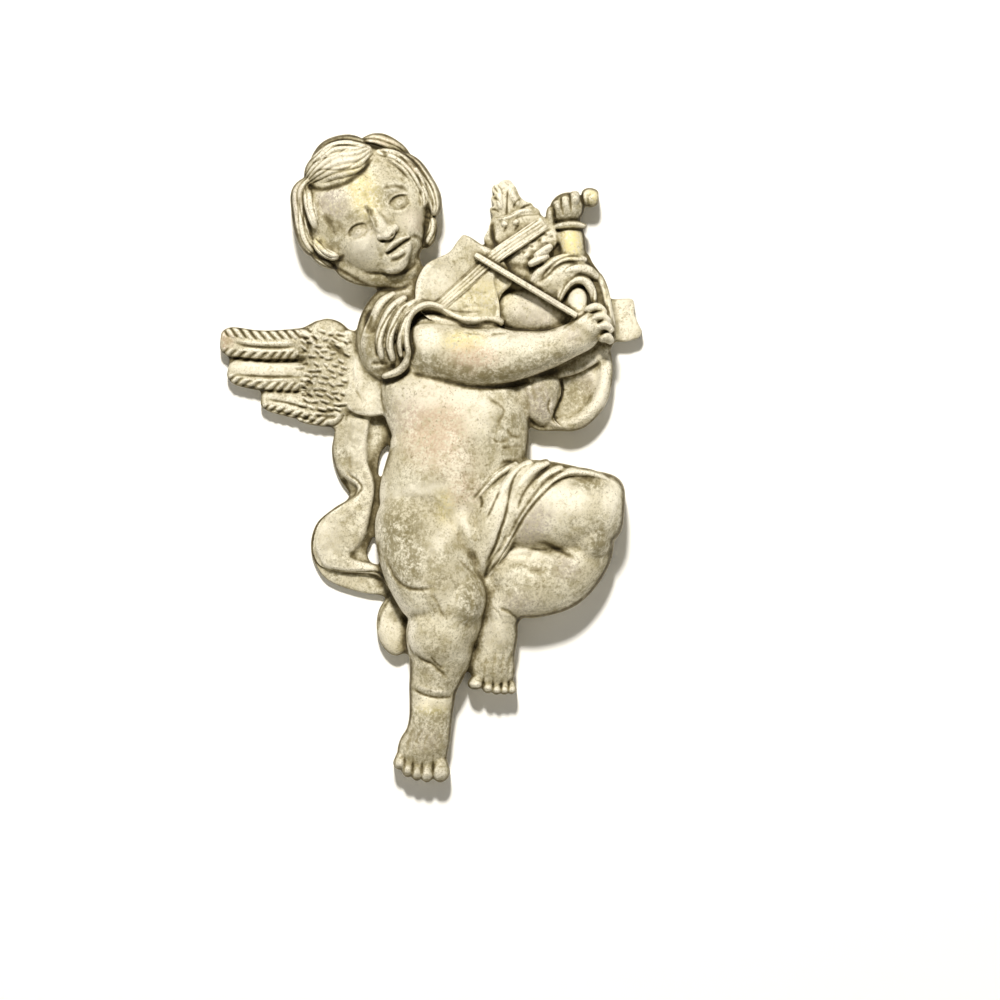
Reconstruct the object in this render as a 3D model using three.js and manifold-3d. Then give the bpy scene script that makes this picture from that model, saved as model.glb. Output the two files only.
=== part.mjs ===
import * as THREE from 'three';
import { mergeVertices } from 'three/addons/utils/BufferGeometryUtils.js';
import Module from 'manifold-3d';

const wasm = await Module();
wasm.setup();

// Driving sizes, in millimetres
const PLAQUE_HEIGHT = 305;
const RELIEF_DEPTH = 40;
const WING_THICKNESS = 12;
const RIBBON_THICKNESS = 10.5;
const RIBBON_BASE_THICKNESS = 5;
const RIBBON_END_THICKNESS = 10;
const LEAF_THICKNESS = 17;
const BOW_STICK_WIDTH = 2.6;
const BOW_STICK_RISE = 3.4;
const FINGERBOARD_RISE = 2.6;
const STRING_GROOVE_WIDTH = 0.8;
const CARVING_DEPTH = 1.3;
const QUILL_GROOVE_WIDTH = 1.1;
const STRAND_GROOVE_WIDTH = 1.6;
const BARB_GROOVE_WIDTH = 1.0;

// Layout grid: x to the right and z up, in squares, with the hanging point set on it
// over the centre of mass; the depth runs forwards from the wall, in steps.
const GRID_TOP = 216;
const GRID_BOTTOM = -433;
const DEPTH_STEPS = 89.5;
const HANGING_X = 10;
const HANGING_Z = 0;
const square = PLAQUE_HEIGHT / (GRID_TOP - GRID_BOTTOM);
const step = RELIEF_DEPTH / DEPTH_STEPS;
const wingSteps = WING_THICKNESS / step;
const ribbonSteps = RIBBON_THICKNESS / step;
const ribbonBaseSteps = RIBBON_BASE_THICKNESS / step;
const ribbonEndSteps = RIBBON_END_THICKNESS / step;
const leafSteps = LEAF_THICKNESS / step;

// How finely the round forms are faceted: [sides round the form, rings along it]
const COARSE = [6, 5];
const LONG = [6, 7];
const MEDIUM = [8, 7];
const FINE = [11, 10];
const FOLD = [5, 6];
const ROUND = [8, 5];
const TOE = [6, 4];
const BACK_SIDES = 3;
const BACK_SQUARENESS = 0.2;
const BACK_TAPER = 0.9;

// The flat back is cut this far past every form that reaches the wall.
const BACK_OVERRUN = 3;

function place(x, depth, z) {
  return new THREE.Vector3((x - HANGING_X) * square, -depth * step, (z - HANGING_Z) * square);
}

// Turns a closed geometry into a solid for joining and cutting, with its faces outwards.
function solid(geometry) {
  const bare = geometry.index ? geometry : mergeVertices(geometry);
  bare.deleteAttribute('normal');
  bare.deleteAttribute('uv');
  const merged = mergeVertices(bare, 1e-4);
  const vertProperties = new Float32Array(merged.attributes.position.array);
  const triVerts = new Uint32Array(merged.index.array);
  if (signedVolume(vertProperties, triVerts) < 0) {
    for (let i = 0; i < triVerts.length; i += 3) {
      const swap = triVerts[i];
      triVerts[i] = triVerts[i + 1];
      triVerts[i + 1] = swap;
    }
  }
  return new wasm.Manifold(new wasm.Mesh({ numProp: 3, vertProperties, triVerts }));
}

function signedVolume(positions, triangles) {
  const corner = [new THREE.Vector3(), new THREE.Vector3(), new THREE.Vector3()];
  let volume = 0;
  for (let i = 0; i < triangles.length; i += 3) {
    corner.forEach((point, k) => point.fromArray(positions, 3 * triangles[i + k]));
    volume += corner[0].dot(corner[1].clone().cross(corner[2])) / 6;
  }
  return volume;
}

// Spends most of a ring's corners on the front half, and few on the walls behind it.
function frontHeavy(angle, sides) {
  const share = ((angle + 2 * Math.PI) % (2 * Math.PI)) / (2 * Math.PI);
  const front = (sides - BACK_SIDES) / sides;
  return share <= front + 1e-6
    ? Math.PI * share / front
    : Math.PI + Math.PI * (share - front) / (1 - front);
}

// Swells a closed ball along a bent centre line. Each station is
// [x, z, half width, depth of the centre line, rise in front of it].
// The back of the form runs to the wall, or "sink" steps behind its centre line.
function limb(stations, { detail = MEDIUM, blunt = 3, square: squareness = 1, sink = null } = {}) {
  const line = new THREE.CatmullRomCurve3(
    stations.map(([x, z, , mid]) => new THREE.Vector3(x, z, mid)), false, 'centripetal');
  const girth = new THREE.CatmullRomCurve3(
    stations.map(([, , half, , rise], i) => new THREE.Vector3(half, rise, i)), false, 'catmullrom', 0.5);
  const ball = new THREE.SphereGeometry(1, detail[0], detail[1]);
  const vertex = ball.attributes.position;
  for (let i = 0; i < vertex.count; i++) {
    const along = THREE.MathUtils.clamp(vertex.getY(i), -1, 1);
    const t = Math.acos(along) / Math.PI / 2 + (1 - along) / 4;
    const around = frontHeavy(Math.atan2(vertex.getZ(i), vertex.getX(i)), detail[0]);
    const fullness = Math.pow(Math.max(0, 1 - Math.pow(Math.abs(2 * t - 1), blunt)), 1 / blunt);
    const centre = line.getPoint(t);
    const ahead = line.getTangent(t);
    const across = new THREE.Vector2(-ahead.y, ahead.x).normalize();
    const size = girth.getPoint(t);
    const flatness = around > Math.PI ? BACK_SQUARENESS : squareness;
    const wide = Math.sign(Math.cos(around)) * Math.pow(Math.abs(Math.cos(around)), flatness);
    const high = Math.sign(Math.sin(around)) * Math.pow(Math.abs(Math.sin(around)), flatness);
    const reach = high > 0 ? size.y : (sink ?? centre.z + 2 * BACK_OVERRUN);
    const side = wide * size.x * fullness;
    const point = place(
      centre.x + across.x * side,
      centre.z + high * reach * fullness,
      centre.y + across.y * side);
    vertex.setXYZ(i, point.x, point.y, point.z);
  }
  return solid(ball);
}

// A rounded mass: half widths along its own two directions in the plan, turned by "turn" degrees.
class Dome {
  constructor(x, z, halfWidth, halfHeight, mid, rise, options = {}) {
    const { turn = 0, detail = MEDIUM, sink = null, full = 1 } = options;
    Object.assign(this, { x, z, halfWidth, halfHeight, mid, rise, detail, sink, full });
    this.turn = THREE.MathUtils.degToRad(turn);
  }

  // Depth of the front surface over a point of the plan.
  depthAt(x, z) {
    const dx = x - this.x;
    const dz = z - this.z;
    const u = (dx * Math.cos(this.turn) + dz * Math.sin(this.turn)) / this.halfWidth;
    const v = (-dx * Math.sin(this.turn) + dz * Math.cos(this.turn)) / this.halfHeight;
    return this.mid + this.rise * Math.sqrt(Math.max(0, 1 - u * u - v * v));
  }

  solid() {
    const [sides, rings] = this.detail;
    const behind = this.mid - (this.sink ?? this.mid + BACK_OVERRUN);
    const profile = [new THREE.Vector2(0, behind), new THREE.Vector2(BACK_TAPER, behind)];
    for (let ring = 0; ring < rings - 1; ring++) {
      const angle = (Math.PI / 2) * ring / (rings - 1);
      profile.push(new THREE.Vector2(
        Math.pow(Math.cos(angle), this.full), this.mid + this.rise * Math.pow(Math.sin(angle), this.full)));
    }
    profile.push(new THREE.Vector2(0, this.mid + this.rise));
    const ball = new THREE.LatheGeometry(profile, sides);
    const vertex = ball.attributes.position;
    for (let i = 0; i < vertex.count; i++) {
      const u = vertex.getX(i) * this.halfWidth;
      const v = vertex.getZ(i) * this.halfHeight;
      const point = place(
        this.x + u * Math.cos(this.turn) - v * Math.sin(this.turn),
        vertex.getY(i),
        this.z + u * Math.sin(this.turn) + v * Math.cos(this.turn));
      vertex.setXYZ(i, point.x, point.y, point.z);
    }
    return solid(ball);
  }
}

// A flat sheet of the casting from the wall (or "from" steps) out to "top" steps, with a rounded edge.
function slab(outline, top, { from = -BACK_OVERRUN, round = 3, smooth = true, divisions = 2 } = {}) {
  const points = outline.map(([x, z]) => new THREE.Vector2(x - HANGING_X, z - HANGING_Z));
  const shape = new THREE.Shape();
  if (smooth) {
    const loop = new THREE.CatmullRomCurve3(
      points.map((p) => new THREE.Vector3(p.x, p.y, 0)), true, 'centripetal');
    const drawn = loop.getPoints(points.length * divisions).slice(0, -1);
    shape.setFromPoints(drawn.map((p) => new THREE.Vector2(p.x * square, p.y * square)));
  } else {
    shape.setFromPoints(points.map((p) => p.multiplyScalar(square)));
  }
  const edge = round * step;
  const geometry = new THREE.ExtrudeGeometry(shape, {
    depth: (top - from - round) * step,
    bevelEnabled: round > 0,
    bevelThickness: edge,
    bevelSize: edge,
    bevelOffset: -edge,
    bevelSegments: 1,
    steps: 1,
  });
  geometry.rotateX(Math.PI / 2);
  geometry.translate(0, -from * step, 0);
  return solid(geometry);
}

// A strip that stands upright on the plan, used to mark out a carved line.
function strip(line, width) {
  const path = line.map(([x, z]) => new THREE.Vector2((x - HANGING_X) * square, (z - HANGING_Z) * square));
  const left = [];
  const right = [];
  path.forEach((point, i) => {
    const ahead = path[Math.min(i + 1, path.length - 1)].clone().sub(path[Math.max(i - 1, 0)]).normalize();
    const taper = i === 0 || i === path.length - 1 ? 0.35 : 1;
    const across = new THREE.Vector2(-ahead.y, ahead.x).multiplyScalar(width * taper / 2);
    left.push(point.clone().add(across));
    right.unshift(point.clone().sub(across));
  });
  const geometry = new THREE.ExtrudeGeometry(
    new THREE.Shape([...left, ...right]), { depth: 2 * RELIEF_DEPTH, bevelEnabled: false });
  geometry.rotateX(Math.PI / 2);
  return solid(geometry);
}

function joined(parts) {
  return parts.reduce((whole, part) => whole.add(part));
}

// The same solid again, moved towards the wall.
function setBack(body, distance) {
  const mesh = body.getMesh();
  const geometry = new THREE.BufferGeometry();
  geometry.setAttribute('position', new THREE.BufferAttribute(new Float32Array(mesh.vertProperties), 3));
  geometry.setIndex(new THREE.BufferAttribute(new Uint32Array(mesh.triVerts), 1));
  geometry.translate(0, distance, 0);
  return solid(geometry);
}

// Cuts lines of one even depth into the front of a relief, however it swells.
function carve(body, lines, width, depth = CARVING_DEPTH) {
  const marks = joined(lines.map((line) => strip(line, width)));
  return body.subtract(marks.subtract(setBack(body, depth)));
}

// Head, turned and tilted towards the violin
const HEAD_TILT = 33;
const skull = new Dome(-84, 141, 62, 64, 34, 44, { detail: [10, 5] });
const face = new Dome(-76, 124, 48, 56, 40, 43, { turn: HEAD_TILT, detail: [12, 6] });

// Feature laid on a rounded mass: [x, z, half width] stations, standing "proud" of its surface.
function laidOn(mass, line, proud, options = {}) {
  const stations = line.map(([x, z, half]) => [x, z, half, mass.depthAt(x, z) - 4, proud + 4]);
  return limb(stations, { detail: COARSE, sink: 8, ...options });
}

function faceDome(x, z, halfWidth, halfHeight, proud) {
  return new Dome(x, z, halfWidth, halfHeight, face.depthAt(x, z) - 3, proud + 3,
    { turn: HEAD_TILT, detail: COARSE, sink: 8 }).solid();
}

function head() {
  const nose = laidOn(face, [[-79, 144, 4], [-74, 131, 5], [-67, 119, 6.5], [-62, 108, 6]], 8);
  const brows = [
    laidOn(face, [[-72, 157, 3], [-57, 163, 5], [-40, 160, 3]], 2.5),
    laidOn(face, [[-84, 141, 3], [-94, 134, 5], [-108, 122, 3]], 2.5),
  ];
  const eyes = [
    laidOn(face, [[-103, 112, 2], [-92, 118, 7], [-82, 124, 2]], 4),
    laidOn(face, [[-60, 142, 2], [-50, 147, 7], [-41, 151, 2]], 4),
  ];
  const lips = [
    laidOn(face, [[-65, 96, 2], [-52, 102, 4.5], [-38, 111, 2]], 3.5),
    laidOn(face, [[-60, 88, 2], [-49, 92, 5], [-37, 101, 2]], 3.5),
  ];
  const chin = faceDome(-54, 85, 14, 9, 3);
  const jaw = new Dome(-72, 85, 44, 23, 40, 18, { detail: [10, 4] }).solid();
  const ear = new Dome(-129, 108, 8, 9, 42, 14, { detail: COARSE, sink: 20 }).solid();
  const neck = limb([[-72, 104, 20, 24, 18], [-52, 78, 21, 24, 20], [-44, 44, 27, 24, 26]], { blunt: 5 });
  return joined([skull.solid(), face.solid(), nose, ...brows, ...eyes, ...lips, chin, jaw, ear, neck]);
}

// Curls and locks of hair, from the parting outwards, each lying on the skull
const LOCKS = [
  { line: [[-144, 165, 6], [-133, 179, 14], [-113, 189, 20], [-93, 194, 18], [-76, 201, 9]],
    proud: 14, sides: [8, 8] },
  { line: [[-138, 186, 6], [-122, 200, 9], [-103, 206, 9], [-84, 204, 8]], proud: 18, sides: LONG },
  { line: [[-90, 206, 7], [-71, 207, 9.5], [-54, 199, 9], [-40, 187, 8]], proud: 13, sides: LONG },
  { line: [[-56, 197, 7], [-36, 184, 9.5], [-24, 165, 10], [-19, 147, 10], [-21, 126, 8], [-23, 108, 7],
    [-30, 92, 5]], proud: 22, sides: [6, 10] },
  { line: [[-74, 197, 6], [-57, 190, 8], [-44, 178, 9], [-36, 164, 8], [-32, 146, 5]],
    proud: 12, sides: LONG },
  { line: [[-137, 172, 7], [-149, 158, 9.5], [-149.5, 140, 9], [-147, 120, 8.5], [-141, 104, 8.5],
    [-131, 90, 7]], proud: 20, sides: [6, 9] },
  { line: [[-141, 164, 6], [-141, 144, 8], [-136, 124, 7], [-131, 110, 5]], proud: 12, sides: FOLD },
  { line: [[-140, 100, 7], [-126, 88, 7], [-112, 80, 6], [-98, 73, 4]], proud: 20, sides: LONG },
];
const FORELOCK_STRAND = [[-139, 174], [-124, 181], [-106, 182], [-88, 190]];

function hair() {
  const [forelock, ...locks] = LOCKS.map(({ line, proud, sides }) =>
    laidOn(skull, line, proud, { detail: sides, sink: null }));
  return joined([carve(forelock, [FORELOCK_STRAND], STRAND_GROOVE_WIDTH), ...locks]);
}

// Chest, belly and hips
function torso() {
  return limb([[-8, 62, 50, 26, 26], [-4, 14, 64, 28, 32], [0, -42, 69, 30, 35],
    [13, -86, 66, 30, 44], [2, -120, 68, 30, 46], [-18, -156, 58, 30, 43], [-22, -196, 40, 30, 30]],
  { detail: [10, 9], blunt: 4 });
}

// Leg that hangs down at the left of the view, with its foot
function hangingLeg() {
  const leg = limb([[-38, -142, 34, 34, 36], [-37, -168, 42, 38, 44], [-31, -190, 44.5, 40, 46],
    [-22, -214, 45.5, 42, 48], [-10, -240, 44, 40, 48], [-3, -262, 38, 36, 44], [-9, -285, 35, 34, 44],
    [-10, -303, 32, 32, 39], [-13, -320, 28, 30, 32], [-17, -337, 24, 28, 28], [-18, -352, 22.5, 26, 26],
    [-19.5, -370, 21.5, 26, 25], [-22, -386, 23, 24, 24], [-27, -400, 26, 22, 22], [-29, -414, 27, 18, 18]],
  { detail: [8, 12], blunt: 6 });
  const toes = toeRow([[-9, -418, 9, 15], [-24, -419, 7, 13], [-34, -418, 6.5, 12.5],
    [-43, -414, 6, 12], [-51.5, -405, 6, 10]], 22, 20);
  return joined([leg, ...toes]);
}

// Toes: each [x, z, half width, half length], the first one the big toe
function toeRow(toes, mid, rise) {
  return toes.map(([x, z, half, long], i) => limb(
    [[x, z + long, half, mid, rise - 1.5 * i], [x, z - long, half, mid - 2, rise - 3 - 1.5 * i]],
    { detail: TOE, blunt: 4 }));
}

// Leg that is bent sideways at the right of the view, with its foot
function bentLeg() {
  const thigh = limb([[0, -150, 38, 28, 32], [48, -155, 44, 32, 44], [88, -156, 46, 38, 48],
    [132, -160, 42, 42, 46], [158, -158, 38, 40, 44], [174.5, -157, 34, 36, 38]],
  { detail: [8, 9], blunt: 5 });
  const shin = limb([[149, -166, 20, 30, 32], [138, -203, 28, 32, 36], [112, -231, 36, 34, 38],
    [78, -242, 35, 34, 38], [56, -258, 24, 30, 32], [50, -284, 17, 28, 26]], { detail: [8, 10], blunt: 4 });
  const foot = limb([[52, -258, 17, 28, 28], [49, -284, 19, 26, 26], [45, -302, 20, 24, 24],
    [42, -318, 22.5, 22, 22], [42, -334, 23, 18, 18]], { detail: [8, 7], blunt: 5 });
  const toes = toeRow([[25, -328, 8.5, 11], [36.5, -333, 6, 11], [46, -334, 5.5, 11],
    [54.5, -334, 5.2, 11], [62, -333, 5, 11]], 22, 20);
  return joined([thigh, shin, foot, ...toes]);
}

// Cloth over the lap: a smooth apron with folds that sweep from the hip to between the legs
function lapDrapery() {
  const apron = limb([[78, -128, 19, 32, 46], [56, -150, 27, 32, 48], [42, -180, 24, 32, 46],
    [34, -206, 14, 32, 38], [32, -236, 5, 30, 24]], { detail: MEDIUM });
  const folds = [
    [[68, -113, 4, 52, 22], [48, -124, 4.5, 56, 22], [32, -141, 4, 56, 20], [20, -156, 3, 54, 16]],
    [[84, -112, 5, 50, 24], [66, -124, 6, 56, 26], [50, -144, 6, 58, 25], [42, -168, 5, 56, 22],
      [32, -196, 4, 50, 18]],
    [[100, -112, 5, 50, 24], [82, -122, 6, 56, 28], [64, -142, 6, 60, 26], [56, -168, 6, 58, 24],
      [44, -200, 5, 50, 20], [34, -226, 3, 42, 16]],
    [[114, -118, 4, 54, 26], [94, -128, 5, 60, 26], [77, -147, 5, 62, 24], [65, -168, 5, 60, 23],
      [54, -190, 4, 54, 20]],
    [[160, -131, 3, 54, 22], [140, -124, 4, 56, 22], [116, -124, 4.5, 60, 25], [98, -137, 4.5, 62, 24],
      [80, -157, 4.5, 62, 22], [64, -182, 4.5, 56, 20], [46, -211, 4, 46, 18], [33, -234, 3, 38, 12]],
  ];
  return joined([apron, ...folds.map((line) => limb(line, { detail: FOLD, sink: 16 }))]);
}

// Arm that draws the bow, in its short sleeve, with its hand
function bowArm() {
  const arm = limb([[-46, -1, 26, 48, 20], [-24, 1, 28, 52, 26], [0, -2.5, 28, 54, 28], [22, -7, 29, 54, 30],
    [46, -6.5, 28.5, 54, 31], [64, -6, 25, 54, 30], [82, -3.5, 22, 54, 28], [100, 0.5, 18.5, 54, 26],
    [118, 8, 17, 54, 25], [134, 15, 17, 54, 22], [146, 20, 15, 52, 20]], { detail: [8, 9], blunt: 5 });
  const palm = new Dome(138, 24, 19, 17, 52, 28, { turn: 25, detail: ROUND }).solid();
  const fingers = [
    [[134, 38, 4, 66, 14], [146, 42, 5, 66, 14], [156, 36, 4, 64, 12]],
    [[140, 30, 4, 68, 14], [150, 33, 5, 68, 14], [160, 27, 4, 64, 12]],
    [[144, 20, 4, 66, 14], [154, 24, 4.5, 66, 13], [163, 18, 4, 62, 10]],
    [[148, 10, 5, 60, 12], [156, 12, 5.5, 60, 12], [162, 6, 4.5, 58, 10]],
  ].map((line) => limb(line, { detail: COARSE, sink: 14 }));
  const sleeve = limb([[-34, 62, 14, 28, 26], [-54, 46, 23, 30, 36], [-65, 22, 27, 32, 40],
    [-65, -4, 27, 32, 40], [-57, -30, 20, 30, 34]], { detail: [8, 7] });
  const folds = [
    [[-47, 54, 4, 50, 16], [-60, 40, 5, 54, 18], [-67, 18, 5, 56, 18], [-68, -12, 4, 54, 16]],
    [[-38, 52, 4, 50, 18], [-51, 38, 5, 56, 18], [-57, 16, 5, 58, 18], [-56, -14, 4, 56, 16]],
    [[-30, 48, 4, 52, 18], [-42, 36, 4, 58, 18], [-48, 18, 4.5, 60, 18], [-46, -4, 4, 60, 16],
      [-53, -22, 4, 52, 14]],
  ].map((line) => limb(line, { detail: FOLD, sink: 16 }));
  return joined([arm, palm, ...fingers, sleeve, ...folds]);
}

// Violin body with its waist, scooped under the strings, and the raised fingerboard
function violin() {
  const body = slab([[-33, 46], [-34, 62], [-30, 75], [-22, 86], [-10, 92], [0, 97], [8, 108], [14, 114],
    [22, 111], [32, 104], [44, 100], [52, 128], [70, 137], [90, 135], [102, 124], [106, 110], [100, 94],
    [86, 74], [66, 60], [52, 56], [47, 40], [48, 26], [20, 22], [-20, 30]], 60, { divisions: 1 });
  const strings = slab([[-16, 47], [30, 89], [42, 99], [88, 131], [101, 123], [50, 87], [38, 79], [-4, 41]],
    60 + FINGERBOARD_RISE / step, { from: 40, round: 1, smooth: false });
  const grooves = [0.3, 0.7].map((share) => [
    [-15 + 11 * share, 47 - 6 * share], [42 + 8 * share, 98 - 10 * share],
    [88 + 12 * share, 130 - 8 * share]]);
  return carve(joined([body, strings]), grooves, STRING_GROOVE_WIDTH, CARVING_DEPTH / 2);
}

function bow() {
  const half = BOW_STICK_WIDTH / square / 2;
  const rise = BOW_STICK_RISE / step;
  return limb([[24, 95, half, 66, rise], [75, 64.5, half, 67, rise], [127, 33, half, 69, rise]],
    { detail: COARSE, sink: 12, blunt: 8 });
}

// Acanthus leaf that crowns the violin, with lobes at both sides of its midrib
function leafCrown() {
  const blade = slab([[40, 96], [32, 108], [40, 128], [43, 139], [39, 144], [44, 150], [41, 158], [48, 166],
    [57, 169], [63, 166], [69, 155], [74, 148], [82, 146], [90, 138], [88, 128], [70, 104]],
  leafSteps, { round: 1.5, divisions: 1 });
  const rim = limb([[44, 130, 3, 34, 10], [58, 132, 4, 36, 10], [72, 138, 4, 36, 10], [87, 138, 3, 34, 8]],
    { detail: COARSE, sink: 20 });
  const veins = [[[57, 161], [57, 134]], [[46, 157], [55, 146]], [[67, 154], [59, 143]]];
  return carve(joined([blade, rim]), veins, QUILL_GROOVE_WIDTH);
}

// Raised arm that holds the violin by its neck, with the scroll beyond the hand
function raisedArm() {
  const forearm = limb([[126, 60, 16, 26, 24], [123, 92, 15, 26, 28], [121, 116, 16, 26, 26],
    [120, 140, 18, 26, 24]], { detail: [7, 5] });
  const cuff = limb([[102, 121, 4, 34, 18], [120, 124, 5, 36, 20], [138, 122, 4, 34, 18]],
    { detail: COARSE, sink: 20 });
  const hand = new Dome(117, 142, 19, 16, 28, 26, { turn: 22, detail: ROUND }).solid();
  const fingers = [
    [[101, 141, 5, 34, 12], [101, 128, 4.5, 34, 12], [103, 116, 4, 32, 10]],
    [[108, 148, 5.5, 38, 14], [109, 134, 5, 40, 14]],
    [[116, 153, 5.5, 38, 14], [118, 138, 5, 40, 14]],
    [[125, 158, 6, 38, 14], [127, 142, 5, 40, 14]],
  ].map((line) => limb(line, { detail: COARSE }));
  const scroll = limb([[132, 152, 8, 26, 16], [138, 152, 10, 26, 18], [149, 151, 9, 26, 16]],
    { detail: COARSE });
  return joined([forearm, cuff, hand, ...fingers, scroll]);
}

// Fingers of the raised hand's side that wrap the violin, and the sleeve that falls from the forearm
function raisedSleeve() {
  const ground = slab([[96, 96], [137, 96], [142, 87], [150, 76], [156, 60], [160, 48], [165, 22],
    [160, 0], [120, -26], [60, -20], [46, 20], [56, 62], [84, 80]], 38);
  const folds = [
    [[86, 62, 4, 48, 14], [96, 76, 5, 50, 16], [108, 86, 5, 50, 16], [122, 91, 5, 48, 14],
      [137, 90, 4, 42, 12]],
    [[100, 58, 4, 48, 14], [108, 72, 5, 50, 14], [122, 80, 5, 50, 14], [138, 80, 5, 44, 12],
      [150, 68, 4, 36, 10]],
    [[107, 46, 3.5, 48, 14], [112, 60, 4, 50, 14], [124, 71, 4.5, 50, 14], [136, 70, 4.5, 48, 14],
      [143, 58, 4, 48, 12], [143, 42, 3.5, 48, 12]],
    [[148, 74, 4, 34, 12], [154, 60, 4.5, 34, 12], [158, 40, 4.5, 34, 12]],
  ].map((line) => limb(line, { detail: FOLD, sink: 20 }));
  return joined([ground, ...folds]);
}

function ribbonEnd() {
  return slab([[150, 52], [160, 50.5], [184, 51], [184.5, 36], [188, 26], [193, 18], [189, 11], [176, 8],
    [163, 8], [150, 14]], ribbonEndSteps, { smooth: false, round: 2.5 });
}

// Loop of cloth that hangs below the bow hand
function clothLoop() {
  const sheet = slab([[60, -24], [110, -8], [158, 2], [162, -20], [160, -41], [155, -55], [147, -66],
    [137, -76], [125, -81], [105, -81], [84, -79], [70, -60]], 32);
  const rim = limb([[98, -76, 3, 26, 14], [118, -77, 4, 28, 14], [137, -68, 4.5, 28, 14],
    [151, -51, 4.5, 28, 14], [157, -28, 4.5, 28, 14], [158, -4, 4, 28, 14]], { detail: LONG, sink: 14 });
  const leftFold = limb([[106, -26, 5, 30, 16], [106, -48, 6, 30, 18], [102, -64, 6, 30, 18],
    [106, -78, 4, 28, 12]], { detail: LONG, sink: 14 });
  const lobe = limb([[76, -36, 9, 28, 14], [86, -54, 14, 30, 18], [95, -76, 9, 28, 12]],
    { detail: COARSE, sink: 14 });
  return joined([sheet, rim, leftFold, lobe]);
}

// Ribbon that winds down behind the left side, with its outer lip raised
function windingRibbon() {
  const base = slab([[-60, -62], [-85, -60], [-97, -61], [-106, -71], [-117, -91], [-118, -104],
    [-115, -117], [-109, -131], [-100, -146], [-120, -161], [-133, -173], [-139, -192], [-137, -208],
    [-126, -227], [-110, -236], [-86, -243], [-62, -248], [-68, -262], [-73, -276], [-70, -290],
    [-60, -297], [-42, -303], [-34, -280], [-42, -252], [-58, -234], [-68, -219], [-79, -213],
    [-83, -202], [-78, -189], [-72, -165], [-70, -142], [-72, -120], [-68, -101], [-60, -93], [-52, -86]],
  ribbonBaseSteps, { divisions: 1, round: 1.5 });
  const front = ribbonSteps;
  const mid = 0.45 * front;
  const rise = front - mid;
  const band = [
    limb([[-86, -58, 14, mid, rise], [-96, -76, 17, mid, rise], [-100, -96, 17, mid, rise],
      [-97, -114, 16, mid, rise], [-84, -134, 9, mid, rise], [-86, -150, 10, mid, rise],
      [-102, -174, 22, mid, rise], [-115, -196, 22, mid, rise], [-116, -219, 12, mid, rise]],
    { detail: [6, 9], square: 0.6, blunt: 5 }),
    limb([[-128, -208, 8, mid, rise], [-112, -213, 9, mid, rise], [-90, -217, 6, mid, rise],
      [-70, -221, 5, mid, rise], [-58, -234, 5, mid, rise], [-50, -248, 5, mid, rise]],
    { detail: LONG, square: 0.6, blunt: 5 }),
    limb([[-52, -244, 7, mid, rise], [-59, -264, 13, mid, rise], [-56, -284, 16, mid, rise],
      [-44, -301, 14, mid, rise]], { detail: LONG, square: 0.6, blunt: 5 }),
  ];
  return joined([base, ...band]);
}

// Wing: long flight feathers with a quill groove and barbs, under a bank of small coverts
const FEATHERS = [
  { line: [[-229.5, 9, 12], [-218, 8, 15], [-190, 5, 14.5], [-150, 6, 15], [-105, 8, 14]], lift: 1.0 },
  { line: [[-222, -20, 9], [-212, -22, 13.5], [-190, -26, 14.5], [-150, -27, 15], [-100, -26, 14]],
    lift: 0.9 },
  { line: [[-189, -50, 8], [-178, -51, 11.5], [-150, -56, 13.5], [-120, -62, 14], [-96, -60, 12]],
    lift: 0.82 },
  { line: [[-152, -67, 5], [-136, -68, 7.5], [-104, -70, 9]], lift: 0.7 },
];
const WING_OUTLINE = [[-92, 18], [-115, 24], [-132, 30], [-147, 22], [-180, 19], [-208, 21], [-223, 23],
  [-229, 12], [-227, 0], [-220, -9], [-222, -18], [-216, -30], [-205, -34], [-190, -38], [-188, -48],
  [-184, -57], [-170, -62], [-150, -69], [-130, -75], [-112, -79], [-96, -62], [-86, -30]];
const BACKING_STEPS = 24;
const COVERT_ROWS = 2;
const COVERTS_IN_ROW = 4;
const COVERT_SPACING = 20;

// Scalloped tips of the small feathers, one row behind the other
function covertTips() {
  const tips = [];
  for (let row = 0; row < COVERT_ROWS; row++) {
    for (let i = 0; i < COVERTS_IN_ROW; i++) {
      const x = -139 + COVERT_SPACING * row + 1.2 * i;
      const z = 20 - COVERT_SPACING * (i + (row % 2) / 2);
      tips.push([[x + 12, z + 8], [x, z], [x + 12, z - 8]]);
    }
  }
  return tips;
}

function wing() {
  const ground = slab(WING_OUTLINE, wingSteps / 2, { divisions: 1, round: 2 });
  const feathers = FEATHERS.map(({ line, lift }) => {
    const front = wingSteps * lift;
    const stations = line.map(([x, z, half]) => [x, z, half, 0.4 * front, 0.6 * front]);
    return limb(stations, { detail: LONG, square: 0.7, blunt: 5, sink: 0.3 * front });
  });
  const bank = limb([[-133, 28, 12, 12, 12], [-124, 12, 24, 12, 18], [-118, -14, 27, 12, 19],
    [-115, -42, 27, 12, 18], [-109, -76, 20, 12, 12]], { detail: [8, 7], blunt: 5 });
  const root = slab([[-106, 18], [-92, 16], [-80, -6], [-62, -30], [-60, -62], [-100, -61], [-106, -30]], 32);
  const quills = FEATHERS.slice(0, 3).map(({ line }) => line.slice(1).map(([x, z]) => [x, z - 1]));
  const flight = carve(joined(feathers), quills, QUILL_GROOVE_WIDTH);
  const coverts = carve(bank, covertTips(), BARB_GROOVE_WIDTH);
  return joined([ground, flight, coverts, root]);
}

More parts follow.
